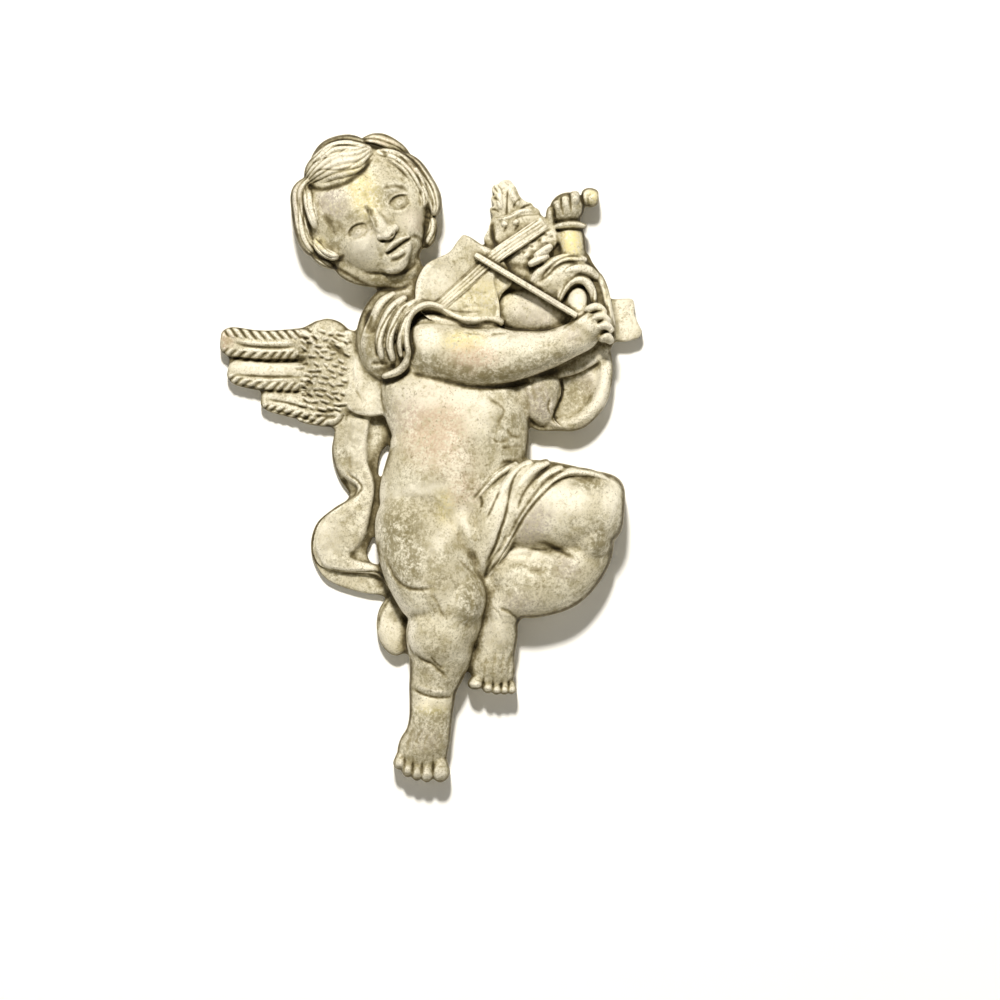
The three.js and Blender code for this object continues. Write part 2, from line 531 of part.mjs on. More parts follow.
// Sheet of the casting behind the figure, that closes the gaps between its limbs
function backing() {
  const outline = [[-88, 26], [-60, 58], [-34, 74], [-20, 84], [30, 98], [60, 122], [100, 118], [104, 92],
    [134, 88], [150, 62], [156, 10], [112, -30], [76, -50], [76, -112], [140, -128], [162, -145],
    [160, -190], [152, -222], [124, -250], [66, -272], [56, -320], [28, -318], [24, -282], [-30, -282],
    [-38, -240], [-66, -180], [-66, -130], [-46, -90], [-60, -40], [-84, 0]];
  return slab(outline, BACKING_STEPS, { smooth: false, round: 0 });
}

// The whole casting, trimmed flat where it meets the wall
function casting() {
  const figure = joined([backing(), torso(), head(), hair(), hangingLeg(), bentLeg(), lapDrapery(), bowArm(),
    violin(), bow(), leafCrown(), raisedArm(), raisedSleeve(), ribbonEnd(), clothLoop(),
    windingRibbon(), wing()]);
  const room = 4 * RELIEF_DEPTH;
  const inFront = new THREE.BoxGeometry(2 * PLAQUE_HEIGHT, room, 3 * PLAQUE_HEIGHT);
  inFront.translate(0, -room / 2, 0);
  return figure.intersect(solid(inFront));
}

function facetedGeometry(body) {
  const mesh = body.getMesh();
  const geometry = new THREE.BufferGeometry();
  geometry.setAttribute('position', new THREE.BufferAttribute(mesh.vertProperties, 3));
  geometry.setIndex(new THREE.BufferAttribute(mesh.triVerts, 1));
  geometry.computeVertexNormals();
  return geometry;
}

const agedCream = new THREE.MeshStandardMaterial({ color: 0xe8e0bd, roughness: 0.75, metalness: 0 });
const plaque = new THREE.Mesh(facetedGeometry(casting()), agedCream);
plaque.name = 'cherub_plaque';

const root = new THREE.Group();
root.add(plaque);

export default root;
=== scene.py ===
"""Looks of the cherub wall plaque: one carved casting under an antiqued cream paint."""

import logging
import math
from abc import ABC, abstractmethod
from dataclasses import dataclass
from enum import Enum
from typing import Optional, Sequence

import bmesh
import bpy
import numpy as np
from mathutils import Matrix, Vector
from mathutils.bvhtree import BVHTree

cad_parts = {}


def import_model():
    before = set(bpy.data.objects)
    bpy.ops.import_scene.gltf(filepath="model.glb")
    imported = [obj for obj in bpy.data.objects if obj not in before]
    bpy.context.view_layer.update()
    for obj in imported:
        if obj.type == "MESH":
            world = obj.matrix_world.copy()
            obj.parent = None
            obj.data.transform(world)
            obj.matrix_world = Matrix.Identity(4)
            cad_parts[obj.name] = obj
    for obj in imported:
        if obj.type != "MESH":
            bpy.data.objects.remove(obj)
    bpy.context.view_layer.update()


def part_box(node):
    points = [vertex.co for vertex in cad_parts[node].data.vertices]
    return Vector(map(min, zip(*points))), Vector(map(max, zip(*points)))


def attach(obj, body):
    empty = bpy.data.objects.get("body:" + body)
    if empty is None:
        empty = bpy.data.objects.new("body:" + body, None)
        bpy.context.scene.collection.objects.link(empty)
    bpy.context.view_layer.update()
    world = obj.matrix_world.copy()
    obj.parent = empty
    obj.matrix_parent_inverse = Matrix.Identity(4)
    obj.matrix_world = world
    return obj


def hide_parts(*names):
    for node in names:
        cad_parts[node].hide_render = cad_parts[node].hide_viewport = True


log = logging.getLogger("cherub_plaque")

Point = tuple[float, float]
Station = tuple[float, float, float, float, float]

NODE = "cherub_plaque"

GRID_TOP = 216.0
GRID_BOTTOM = -433.0
RELIEF_DEPTH = 0.040
DEPTH_STEPS = 89.5
HANGING_X = 10.0
HANGING_Z = 0.0

BODY_VOXEL = 0.0009
BODY_SMOOTHING = 9
DETAIL_VOXEL = 0.00046
DETAIL_SMOOTHING = 3
FLAT_BACK_NORMAL = 0.98
FRONT_FACING = 0.05
TINT_PATCH_FALLOFF = 0.9
TRIANGLE_LIMIT = 194_000
BACK_OVERRUN = 9.0


class Layout:
    """Turns the layout grid (squares across and up, steps out from the wall) into metres."""

    def __init__(self, square: float, step: float) -> None:
        """Keeps the size of one square and of one depth step.

        Args:
            square: width of a grid square in metres.
            step: depth of one step in metres.
        """
        self.square = square
        self.step = step

    @classmethod
    def from_frame(cls) -> "Layout":
        """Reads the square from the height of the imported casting."""
        low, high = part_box(NODE)
        return cls((high.z - low.z) / (GRID_TOP - GRID_BOTTOM), RELIEF_DEPTH / DEPTH_STEPS)

    def place(self, x: np.ndarray, depth: np.ndarray, z: np.ndarray) -> np.ndarray:
        """Gives points of the row frame for grid places and depths."""
        return np.stack([(x - HANGING_X) * self.square, -depth * self.step,
                         (z - HANGING_Z) * self.square], -1)

    def on_plan(self, points: np.ndarray) -> np.ndarray:
        """Gives the grid x and z of points in the row frame."""
        return np.stack([points[:, 0] / self.square + HANGING_X, points[:, 2] / self.square + HANGING_Z], -1)


def curve(points: np.ndarray, t: np.ndarray) -> np.ndarray:
    """Evaluates a centripetal Catmull-Rom curve.

    Args:
        points: K control points, one per row.
        t: places along the curve from 0 to 1.

    Returns:
        One point per entry of t.
    """
    points = np.asarray(points, float)
    ends = np.vstack([2 * points[0] - points[1], points, 2 * points[-1] - points[-2]])
    place = np.clip(t, 0, 1) * (len(points) - 1)
    span = np.minimum(place.astype(int), len(points) - 2)
    w = (place - span)[:, None]
    p0, p1, p2, p3 = (ends[span + k] for k in range(4))
    knots = [np.maximum(np.linalg.norm(b - a, axis=1), 1e-9)[:, None] ** 0.5
             for a, b in ((p0, p1), (p1, p2), (p2, p3))]
    d0, d1, d2 = knots
    m1 = ((p1 - p0) / d0 - (p2 - p0) / (d0 + d1) + (p2 - p1) / d1) * d1
    m2 = ((p2 - p1) / d1 - (p3 - p1) / (d1 + d2) + (p3 - p2) / d2) * d1
    return (p1 + m1 * w + (3 * (p2 - p1) - 2 * m1 - m2) * w ** 2 + (2 * (p1 - p2) + m1 + m2) * w ** 3)


def smooth_line(points: Sequence[Sequence[float]], per_span: int = 6) -> np.ndarray:
    """Draws a smooth line through a few points."""
    if len(points) < 3:
        return np.asarray(points, float)
    return curve(np.asarray(points, float), np.linspace(0, 1, (len(points) - 1) * per_span + 1))


@dataclass(frozen=True)
class Dome:
    """A rounded mass with its own two directions in the plan, turned by "turn" degrees."""

    x: float
    z: float
    half_width: float
    half_height: float
    mid: float
    rise: float
    turn: float = 0.0
    sink: Optional[float] = None

    def depth_at(self, x: float, z: float) -> float:
        """Gives the depth of the front surface over a place of the plan.

        Args:
            x: place across the plan.
            z: place up the plan.

        Returns:
            The depth in steps.
        """
        angle = math.radians(self.turn)
        dx, dz = x - self.x, z - self.z
        u = (dx * math.cos(angle) + dz * math.sin(angle)) / self.half_width
        v = (-dx * math.sin(angle) + dz * math.cos(angle)) / self.half_height
        return self.mid + self.rise * math.sqrt(max(0.0, 1 - u * u - v * v))


class Clay:
    """Closed forms laid over one another, ready to be fused."""

    def __init__(self, layout: Layout) -> None:
        """Starts with nothing on the board."""
        self.layout = layout
        self.forms: list[bpy.types.Object] = []

    def keep(self, form: bmesh.types.BMesh) -> None:
        """Sets a finished form aside as an object of its own until the forms are fused."""
        mesh = bpy.data.meshes.new("form")
        form.to_mesh(mesh)
        form.free()
        self.keep_mesh(mesh)

    def keep_mesh(self, mesh: bpy.types.Mesh) -> None:
        """Sets a finished mesh aside with the forms."""
        holder = bpy.data.objects.new("form", mesh)
        bpy.context.scene.collection.objects.link(holder)
        self.forms.append(holder)

    def swell(self, stations: Sequence[Station], sides: int = 22, rings: int = 34, blunt: float = 3.0,
              squareness: float = 1.0, sink: Optional[float] = None) -> None:
        """Swells a closed ball along a bent centre line.

        Args:
            stations: (x, z, half width, depth of the centre line, rise in front of it) each.
            sides: corners round the form.
            rings: rings along the form.
            blunt: how full the two ends are.
            squareness: below 1 gives flatter fronts with fuller shoulders.
            sink: steps behind the centre line, or None to run to the wall.
        """
        table = np.asarray(stations, float)
        form = bmesh.new()
        ball = bmesh.ops.create_uvsphere(form, u_segments=sides, v_segments=rings, radius=1.0)["verts"]
        unit = np.array([vert.co for vert in ball])
        along = np.clip(unit[:, 2], -1, 1)
        t = np.arccos(along) / math.pi / 2 + (1 - along) / 4
        around = np.arctan2(unit[:, 1], unit[:, 0])
        fullness = np.clip(1 - np.abs(2 * t - 1) ** blunt, 0, 1) ** (1 / blunt)
        line = table[:, [0, 1, 3]]
        centre = curve(line, t)
        ahead = curve(line, t + 0.004)[:, :2] - curve(line, t - 0.004)[:, :2]
        ahead /= np.maximum(np.linalg.norm(ahead, axis=1), 1e-9)[:, None]
        size = curve(np.column_stack([table[:, 2], table[:, 4], 6.0 * np.arange(len(table))]), t)
        half, rise = size[:, 0], size[:, 1]
        flat = np.where(around < 0, 0.35, squareness)
        wide = np.sign(np.cos(around)) * np.abs(np.cos(around)) ** flat
        high = np.sign(np.sin(around)) * np.abs(np.sin(around)) ** flat
        behind = centre[:, 2] + BACK_OVERRUN if sink is None else np.full(len(t), sink)
        reach = np.where(high > 0, rise, behind)
        side = wide * half * fullness
        places = self.layout.place(centre[:, 0] - ahead[:, 1] * side, centre[:, 2] + high * reach * fullness,
                                   centre[:, 1] + ahead[:, 0] * side)
        for vert, place in zip(ball, places):
            vert.co = place
        self.keep(form)

    def dome(self, dome: Dome, sides: int = 32, rings: int = 24, full: float = 1.0) -> None:
        """Lays down a rounded mass whose walls run back from its rim.

        Args:
            dome: its place, size and turn.
            sides: corners round the form.
            rings: rings from its middle to its rim.
            full: below 1 gives a fuller front.
        """
        form = bmesh.new()
        ball = bmesh.ops.create_uvsphere(form, u_segments=sides, v_segments=rings, radius=1.0)["verts"]
        unit = np.array([vert.co for vert in ball])
        up = unit[:, 2]
        flat = np.hypot(unit[:, 0], unit[:, 1])
        radial = np.where(up > 0, flat ** full, np.clip(1 - np.abs(up) ** 8, 0, 1) ** 0.125)
        spread = radial / np.maximum(flat, 1e-9)
        behind = dome.mid + BACK_OVERRUN if dome.sink is None else dome.sink
        depth = dome.mid + np.where(up > 0, dome.rise * np.abs(up) ** full, -behind * np.abs(up))
        angle = math.radians(dome.turn)
        u = unit[:, 0] * spread * dome.half_width
        v = unit[:, 1] * spread * dome.half_height
        places = self.layout.place(dome.x + u * math.cos(angle) - v * math.sin(angle), depth,
                                   dome.z + u * math.sin(angle) + v * math.cos(angle))
        for vert, place in zip(ball, places):
            vert.co = place
        self.keep(form)

    def slab(self, outline: Sequence[Point], top: float, smooth: bool = True, edge: float = 2.0,
             base: Optional[float] = None) -> None:
        """Lays down a flat sheet with a rounded front edge.

        Args:
            outline: corners of the sheet on the plan, in order.
            top: depth of its front in steps.
            smooth: draws the outline as one smooth curve.
            edge: width of the rounded edge in squares.
            base: depth of its back, or None to run past the wall.
        """
        corners = np.asarray(outline, float)
        if smooth:
            wrapped = np.vstack([corners[-2:], corners, corners[:3]])
            share = np.linspace(2, len(corners) + 2, 4 * len(corners), endpoint=False) / (len(wrapped) - 1)
            corners = curve(wrapped, share)
        ring = self.layout.place(corners[:, 0], np.full(len(corners), top), corners[:, 1])
        form = bmesh.new()
        front = form.faces.new([form.verts.new(place) for place in ring])
        back = -BACK_OVERRUN if base is None else base
        grown = bmesh.ops.extrude_face_region(form, geom=[front], use_keep_orig=True)
        moved = [item for item in grown["geom"] if isinstance(item, bmesh.types.BMVert)]
        bmesh.ops.translate(form, verts=moved, vec=Vector((0, (top - back) * self.layout.step, 0)))
        if edge > 0:
            bmesh.ops.bevel(form, geom=list(front.edges), offset=edge * self.layout.square, segments=3,
                profile=0.5, affect="EDGES", material=-1, clamp_overlap=True)
        self.keep(form)

    def laid_on(self, mass: Dome, line: Sequence[tuple[float, float, float]], proud: float,
                sink: float = 10.0, **options: float) -> None:
        """Lays a roll along the surface of a rounded mass.

        Args:
            mass: the rounded mass.
            line: (x, z, half width) along the roll.
            proud: steps that it stands proud of the surface.
            sink: steps that it reaches behind its centre line.
            options: further settings of the swelling.
        """
        stations = [(x, z, half, mass.depth_at(x, z) - 4, proud + 4) for x, z, half in line]
        self.swell(stations, sink=sink, sides=14, rings=26, **options)

    def fuse(self, name: str, voxel: float, smoothing: int) -> bpy.types.Mesh:
        """Fuses the forms into one closed skin.

        Args:
            name: name of the new mesh.
            voxel: grain of the skin in metres.
            smoothing: rounds of smoothing over its joints.

        Returns:
            The fused mesh.
        """
        holder = self.forms[0]
        with bpy.context.temp_override(active_object=holder, object=holder, selected_objects=self.forms,
                                       selected_editable_objects=self.forms):
            bpy.ops.object.join()
        rough = holder.data
        remesh = holder.modifiers.new("fuse", "REMESH")
        remesh.mode = "VOXEL"
        remesh.voxel_size = voxel
        remesh.adaptivity = 0.0
        smooth = holder.modifiers.new("blend", "SMOOTH")
        smooth.factor = 0.5
        smooth.iterations = smoothing
        fused = bpy.data.meshes.new_from_object(holder.evaluated_get(bpy.context.evaluated_depsgraph_get()))
        fused.name = name
        bpy.data.objects.remove(holder)
        bpy.data.meshes.remove(rough)
        return fused


class Chisel:
    """Carves the front of the fused skin and notes where it is darkened, as antique glaze in the cuts and as
    painted shade under and between forms.
    """

    def __init__(self, layout: Layout, mesh: bpy.types.Mesh) -> None:
        """Reads the skin's points and which way they face.

        Args:
            layout: turns grid places into metres.
            mesh: the fused skin.
        """
        count = len(mesh.vertices)
        self.layout = layout
        self.points = np.empty(count * 3)
        mesh.vertices.foreach_get("co", self.points)
        self.points = self.points.reshape(-1, 3)
        facing = np.empty(count * 3)
        mesh.vertices.foreach_get("normal", facing)
        self.front = np.clip((-facing.reshape(-1, 3)[:, 1] - 0.12) / 0.5, 0, 1)
        self.plan = layout.on_plan(self.points)
        self.height = np.zeros(count)
        self.wash_and_shade = np.zeros(count)

    def near(self, line: np.ndarray, reach: float) -> tuple[np.ndarray, ...]:
        """Finds the points near a line of the plan.

        Args:
            line: corners of the line, one per row.
            reach: greatest distance in squares.

        Returns:
            Their indices, signed distances (positive on the left of the line), places along it in
            squares, and the line's whole length.
        """
        low, high = line.min(0) - reach, line.max(0) + reach
        inside = np.flatnonzero(((self.plan > low) & (self.plan < high)).all(1) & (self.front > 0))
        spots = self.plan[inside]
        best = np.full(len(spots), np.inf)
        signed = np.zeros(len(spots))
        along = np.zeros(len(spots))
        travelled = 0.0
        for start, end in zip(line[:-1], line[1:]):
            step = end - start
            length = max(float(np.hypot(*step)), 1e-6)
            w = np.clip((spots - start) @ step / length ** 2, 0, 1)
            off = spots - start - w[:, None] * step
            distance = np.hypot(off[:, 0], off[:, 1])
            closer = distance < best
            best[closer] = distance[closer]
            side = np.sign(step[0] * off[:, 1] - step[1] * off[:, 0])
            signed[closer] = (side * distance)[closer]
            along[closer] = travelled + w[closer] * length
            travelled += length
        keep = best < reach
        return inside[keep], signed[keep], along[keep], travelled

    def darken(self, where: np.ndarray, amount: np.ndarray) -> None:
        """Darkens some points, up to an amount, as antique glaze and, where a caller lays it, as painted
        shade.
        """
        self.wash_and_shade[where] = np.maximum(self.wash_and_shade[where], amount)

    def groove(self, line: Sequence[Point], width: float = 1.8, depth: float = 2.4, wash_and_shade: float = 0.85,
               taper: float = 0.2) -> None:
        """Cuts a soft groove that fades to its ends.

        Args:
            line: a few points of its course.
            width: half width in squares.
            depth: depth in steps, or below 0 for a ridge.
            wash_and_shade: how dark the glaze and any painted shade are in it.
            taper: share of its length over which it fades.
        """
        where, offset, along, length = self.near(smooth_line(line), 2.4 * width)
        fade = np.clip(np.minimum(along, length - along) / max(taper * length, 1e-6), 0, 1) ** 0.6
        profile = np.exp(-1.4 * (offset / width) ** 2) * fade
        self.height[where] -= depth * profile * self.front[where]
        self.darken(where, wash_and_shade * np.exp(-1.1 * (offset / width) ** 2) * fade)

    def grooves(self, *cuts: tuple) -> None:
        """Cuts several grooves, each given as (line, width, depth, wash, taper)."""
        for cut in cuts:
            self.groove(*cut)

    def stroke(self, line: Sequence[Point], width: float = 2.0, wash_and_shade: float = 0.8) -> None:
        """Paints a dark line without cutting, as glaze along a form and as painted shadow beside the bow."""
        self.groove(line, width, 0.0, wash_and_shade)

    def ridge(self, line: Sequence[Point], width: float = 2.0, height: float = 2.0) -> None:
        """Raises a soft ridge."""
        self.groove(line, width, -height, 0.0)

    def lip(self, line: Sequence[Point], height: float = 3.0, falloff: float = 6.0,
            wash_and_shade: float = 0.8) -> None:
        """Raises the left side of a line into a lip that drops sharply to the right.

        Args:
            line: a few points of its course.
            height: height of the lip in steps.
            falloff: width of its slope in squares.
            wash_and_shade: how dark the glaze and the painted shade are under it.
        """
        where, offset, along, length = self.near(smooth_line(line), 2.5 * falloff)
        fade = np.clip(np.minimum(along, length - along) / (0.15 * length), 0, 1) ** 0.6
        left = offset > 0
        shape = np.where(left, np.exp(-np.abs(offset) / falloff),
            -0.8 * np.exp(-np.abs(offset) / (0.35 * falloff)))
        self.height[where] += height * shape * fade * self.front[where]
        under = np.where(left, 0, np.exp(-((offset + 0.12 * falloff) / (0.3 * falloff)) ** 2))
        self.darken(where, wash_and_shade * under * fade)

    def strands(self, stations: Sequence[tuple[float, float, float]], count: float, depth: float = 1.6,
                wash_and_shade: float = 0.7, wobble: float = 0.12) -> None:
        """Combs grooves along a lock.

        Args:
            stations: (x, z, half width) along the lock.
            count: grooves across the whole lock.
            depth: depth of a groove in steps.
            wash_and_shade: how dark the glaze and painted shade are in the grooves.
            wobble: how far the grooves wander, as a share of the half width.
        """
        table = np.asarray(stations, float)
        where, offset, along, length = self.near(smooth_line(table[:, :2]), table[:, 2].max())
        share = along / length
        half = np.interp(share, np.linspace(0, 1, len(table)), table[:, 2])
        u = offset / half
        inside = np.clip((1.0 - np.abs(u)) / 0.2, 0, 1) * np.clip(np.minimum(share, 1 - share) / 0.08, 0, 1)
        phase = math.pi * count * (u + wobble * np.sin(9 * share + table[0, 0]))
        wave = np.cos(phase)
        self.height[where] += (depth * (0.4 * wave - 0.6 * np.clip(-wave, 0, 1) ** 2) * inside
                               * self.front[where])
        self.darken(where, wash_and_shade * np.clip(-wave, 0, 1) ** 2 * inside)

    def barbs(self, stations: Sequence[tuple[float, float, float]], spacing: float, slant: float,
              depth: float, sides: Sequence[int], wash_and_shade: float = 0.75, inner: float = 0.3) -> None:
        """Cuts slanting barbs from a feather's quill out to its edges.

        Args:
            stations: (x, z, half width) along the feather, from its tip.
            spacing: distance between barbs in squares.
            slant: how far a barb runs along the feather for each square across it.
            depth: depth in steps.
            sides: 1 for the left side of the line, -1 for the right side.
            wash_and_shade: how dark the glaze and painted shade are between barbs.
            inner: share of the half width left smooth beside the quill.
        """
        table = np.asarray(stations, float)
        where, offset, along, length = self.near(smooth_line(table[:, :2]), table[:, 2].max() + 2)
        half = np.interp(along / length, np.linspace(0, 1, len(table)), table[:, 2])
        u = np.abs(offset) / half
        cut = np.isin(np.sign(offset), sides) * np.clip((u - inner) / 0.12, 0, 1) * np.clip((1.15 - u) / 0.1,
            0, 1)
        cut *= np.clip(along / (0.06 * length), 0, 1)
        phase = 2 * math.pi * (along + slant * np.abs(offset)) / spacing + 0.7 * np.sin(along / 11.0)
        wave = np.cos(phase)
        self.height[where] += depth * wave * cut * self.front[where]
        self.darken(where, wash_and_shade * np.clip(-wave, 0, 1) ** 1.5 * cut)

    def bump(self, x: float, z: float, wide: float, high: float, height: float, turn: float = 0.0,
             wash_and_shade: float = 0.0) -> None:
        """Raises or sinks a soft round spot.

        Args:
            x: its place across the plan.
            z: its place up the plan.
            wide: half width in squares.
            high: half height in squares.
            height: steps at its middle, below 0 for a hollow.
            turn: its turn in degrees.
            wash_and_shade: how dark the glaze and painted shade are at its middle.
        """
        angle = math.radians(turn)
        reach = max(wide, high)
        where = np.flatnonzero((np.abs(self.plan - (x, z)) < reach).all(1))
        dx, dz = (self.plan[where] - (x, z)).T
        u = (dx * math.cos(angle) + dz * math.sin(angle)) / wide
        v = (-dx * math.sin(angle) + dz * math.cos(angle)) / high
        shape = np.clip(1 - u * u - v * v, 0, 1) ** 2
        self.height[where] += height * shape * self.front[where]
        self.darken(where, wash_and_shade * shape)

    def unevenness(self, wavelength: float, amount: float, seed: int, waves: int = 28) -> None:
        """Leaves the slight unevenness of hand finishing, by a sum of seeded waves.

        Args:
            wavelength: usual length of a wave in metres.
            amount: height of the unevenness in steps.
            seed: seed of the random headings.
            waves: how many waves are added.
        """
        chance = np.random.default_rng(seed)
        total = np.zeros(len(self.points))
        for _ in range(waves):
            heading = chance.normal(size=3)
            heading *= 2 * math.pi / (wavelength * chance.uniform(0.7, 1.6) * np.linalg.norm(heading))
            total += np.sin(self.points @ heading + chance.uniform(0, 2 * math.pi))
        self.height += amount * total / math.sqrt(waves) * self.front

    def carved(self) -> np.ndarray:
        """Gives the carved points."""
        points = self.points.copy()
        points[:, 1] -= self.height * self.layout.step
        return points


class Feature(ABC):
    """One modelled part of the relief."""

    @abstractmethod
    def mass(self, clay: Clay) -> None:
        """Lays down the broad forms that melt into their neighbours.

        Args:
            clay: takes the forms.
        """

    def detail(self, clay: Clay) -> None:
        """Lays down the crisp forms.

        Args:
            clay: takes the forms.
        """

    def carve(self, chisel: Chisel) -> None:
        """Carves the lines and marks.

        Args:
            chisel: cuts the skin.
        """


SKULL = Dome(-84, 141, 62, 64, 34, 44)
FACE = Dome(-76, 124, 48, 56, 40, 42, turn=33)


@dataclass(frozen=True)
class Head(Feature):
    """Head tilted towards the violin, with a calm child's face."""

    nose_rise: float = 11.0
    lid_width: float = 1.5
    lid_height: float = 1.8

    def mass(self, clay: Clay) -> None:
        """Skull, face, brow, cheeks, jaw, nose and neck."""
        clay.dome(SKULL)
        clay.dome(FACE)
        clay.dome(Dome(-72, 85, 44, 23, 40, 18))
        clay.swell([(-72, 104, 20, 24, 18), (-52, 78, 21, 24, 20), (-44, 44, 27, 24, 26)], blunt=5)
        clay.laid_on(FACE, [(-80, 146, 5), (-75, 133, 6), (-68, 121, 8), (-63, 112, 8)], self.nose_rise)
        clay.laid_on(FACE, [(-74, 160, 6), (-58, 167, 7), (-40, 163, 5)], 4)
        clay.laid_on(FACE, [(-86, 144, 6), (-97, 138, 7), (-112, 126, 6)], 4)
        clay.dome(Dome(-54, 86, 14, 10, FACE.depth_at(-54, 88) - 5, 9, 33, 20))
        clay.dome(Dome(-54, 99, 17, 14, FACE.depth_at(-54, 99) - 4, 7, 33, 20))
        clay.dome(Dome(-129, 107, 9, 10, 42, 15, 0, 20))

    def detail(self, clay: Clay) -> None:
        """Nose tip, wings of the nose and lips."""
        clay.dome(Dome(-62, 116, 8, 7.5, FACE.depth_at(-62, 116) + 2, 9, 33, 12))
        clay.dome(Dome(-69, 112.5, 4.5, 4.5, FACE.depth_at(-69, 112) - 1, 8, 33, 12))
        clay.dome(Dome(-55, 120.5, 4.5, 4.5, FACE.depth_at(-55, 120) - 1, 8, 33, 12))
        clay.laid_on(FACE, [(-64, 96.5, 2), (-57, 103.5, 4), (-51, 107.5, 4), (-39, 112.5, 2)], 8.5)
        clay.laid_on(FACE, [(-60, 90.5, 2), (-50, 95.5, 4.8), (-39, 103.5, 2)], 8.5)

    def carve(self, chisel: Chisel) -> None:
        """Eyes, nostrils, mouth and the creases of the face."""
        chisel.bump(-88, 103, 26, 20, 5.0, 33)
        chisel.bump(-34, 128, 17, 22, 4.0, 33)
        self.eye(chisel, -91, 117, 30, 0.30)
        self.eye(chisel, -50, 146, 24, 0.42)
        chisel.bump(-78, 137, 6, 7, -3.0, wash_and_shade=0.85)
        for x, z in ((-97, 118), (-99, 113), (-88, 122), (-84, 112)):
            chisel.bump(x, z, 2.6, 2.2, -1.0, wash_and_shade=0.7)
        chisel.grooves(
            ([(-68, 160), (-60, 161.5), (-48, 161.5), (-41, 157)], 2.6, 1.2, 0.95),
            ([(-88, 140), (-98, 134), (-106, 127)], 3.4, 0.5, 0.45),
            # The groove down the left side of the nose also carries painted shade on that side.
            ([(-85, 143), (-80, 137), (-74, 127), (-70, 117)], 3.2, 2.0, 0.9),
            ([(-70, 139), (-64, 129), (-55, 125)], 2.6, 0.8, 0.2),
        )
        # Flat darkening round the nose tip: painted shade under the nose.
        chisel.bump(-63, 115, 9, 7, 0, 33, wash_and_shade=0.35)
        chisel.groove([(-72, 110), (-67, 107.5), (-62, 109), (-56, 113.5), (-52, 117)], 1.9, 2.2, 0.95)
        chisel.bump(-67, 107.5, 3.2, 2.4, -2.0, wash_and_shade=1.0)
        chisel.bump(-56.5, 113, 3.0, 2.4, -2.0, wash_and_shade=1.0)
        chisel.grooves(
            ([(-64, 94), (-57, 99), (-51, 103.5), (-46, 107), (-38, 110.5)], 2.5, 4.2, 1.0, 0.14),
            ([(-59.5, 107), (-56.5, 109.5)], 1.6, 1.2, 0.25),
            ([(-60, 88), (-52, 89.5), (-42, 96)], 2.6, 1.8, 0.75),
            ([(-72, 104), (-70, 96), (-66, 90)], 2.4, 1.0, 0.3),
            ([(-40, 111.5), (-35, 113), (-28, 109), (-22, 102), (-21, 94)], 2.6, 2.2, 0.8),
            ([(-32, 88), (-40, 80), (-50, 75.5), (-62, 75), (-76, 76), (-88, 77)], 2.6, 2.0, 0.9),
        )
        # Flat darkening under the chin: painted shade under the jaw.
        chisel.bump(-64, 69, 32, 6, 0, wash_and_shade=0.75)
        chisel.groove([(-124, 136), (-120, 128), (-115, 119), (-112, 111)], 4.5, 1.6, 0.95)
        chisel.bump(-109, 122, 7, 12, -1.2, 25, wash_and_shade=0.85)
        chisel.grooves(
            ([(-137, 99), (-130, 92), (-122, 90), (-115, 90)], 3.0, 2.6, 1.0),
            ([(-128, 88), (-116, 83), (-103, 76), (-91, 69), (-79, 64)], 2.4, 1.6, 1.0),
            ([(-118, 94), (-110, 91), (-104, 94)], 2.6, 1.4, 0.8),
            ([(-74, 60.5), (-60, 60), (-48, 61), (-38, 66)], 2.8, 2.6, 1.0),
        )
        chisel.bump(-129, 108, 3.5, 4.0, -2.0, wash_and_shade=0.4)

    def eye(self, chisel: Chisel, x: float, z: float, turn: float, soil: float) -> None:
        """Carves one eye: its socket, ball, lids, iris and pupil.

        Args:
            chisel: carves the fused skin.
            x: middle of the eye across the plan.
            z: middle of the eye up the plan.
            turn: tilt of the eye in degrees.
            soil: how dark the socket is painted.
        """
        def arc(wide: float, high: float, first: float, last: float) -> list[Point]:
            """Part of a turned ellipse round the middle of the eye."""
            tilt = math.radians(turn)
            angles = np.radians(np.linspace(first, last, 9))
            across, up = wide * np.cos(angles), high * np.sin(angles)
            return [(x + u * math.cos(tilt) - v * math.sin(tilt), z + u * math.sin(tilt) + v * math.cos(tilt))
                    for u, v in zip(across, up)]

        chisel.bump(x - 1, z + 3, 20, 14, -6.0, turn, wash_and_shade=soil)
        chisel.bump(x, z, 9.5, 7.5, 5.0, turn)
        chisel.ridge(arc(12, 8.5, 160, 20), self.lid_width, self.lid_height)
        chisel.groove(arc(10.5, 6.4, 170, 10), 1.3, 1.8, 0.75)
        chisel.groove(arc(10.5, 6.0, 200, 340), 1.6, 1.1, 0.45)
        chisel.ridge(arc(12, 8.5, 215, 325), self.lid_width, 0.8)
        chisel.groove(arc(3.6, 3.6, 0, 360), 1.1, 0.7, 0.4)
        chisel.bump(x, z, 1.6, 1.6, -1.2, wash_and_shade=0.55)


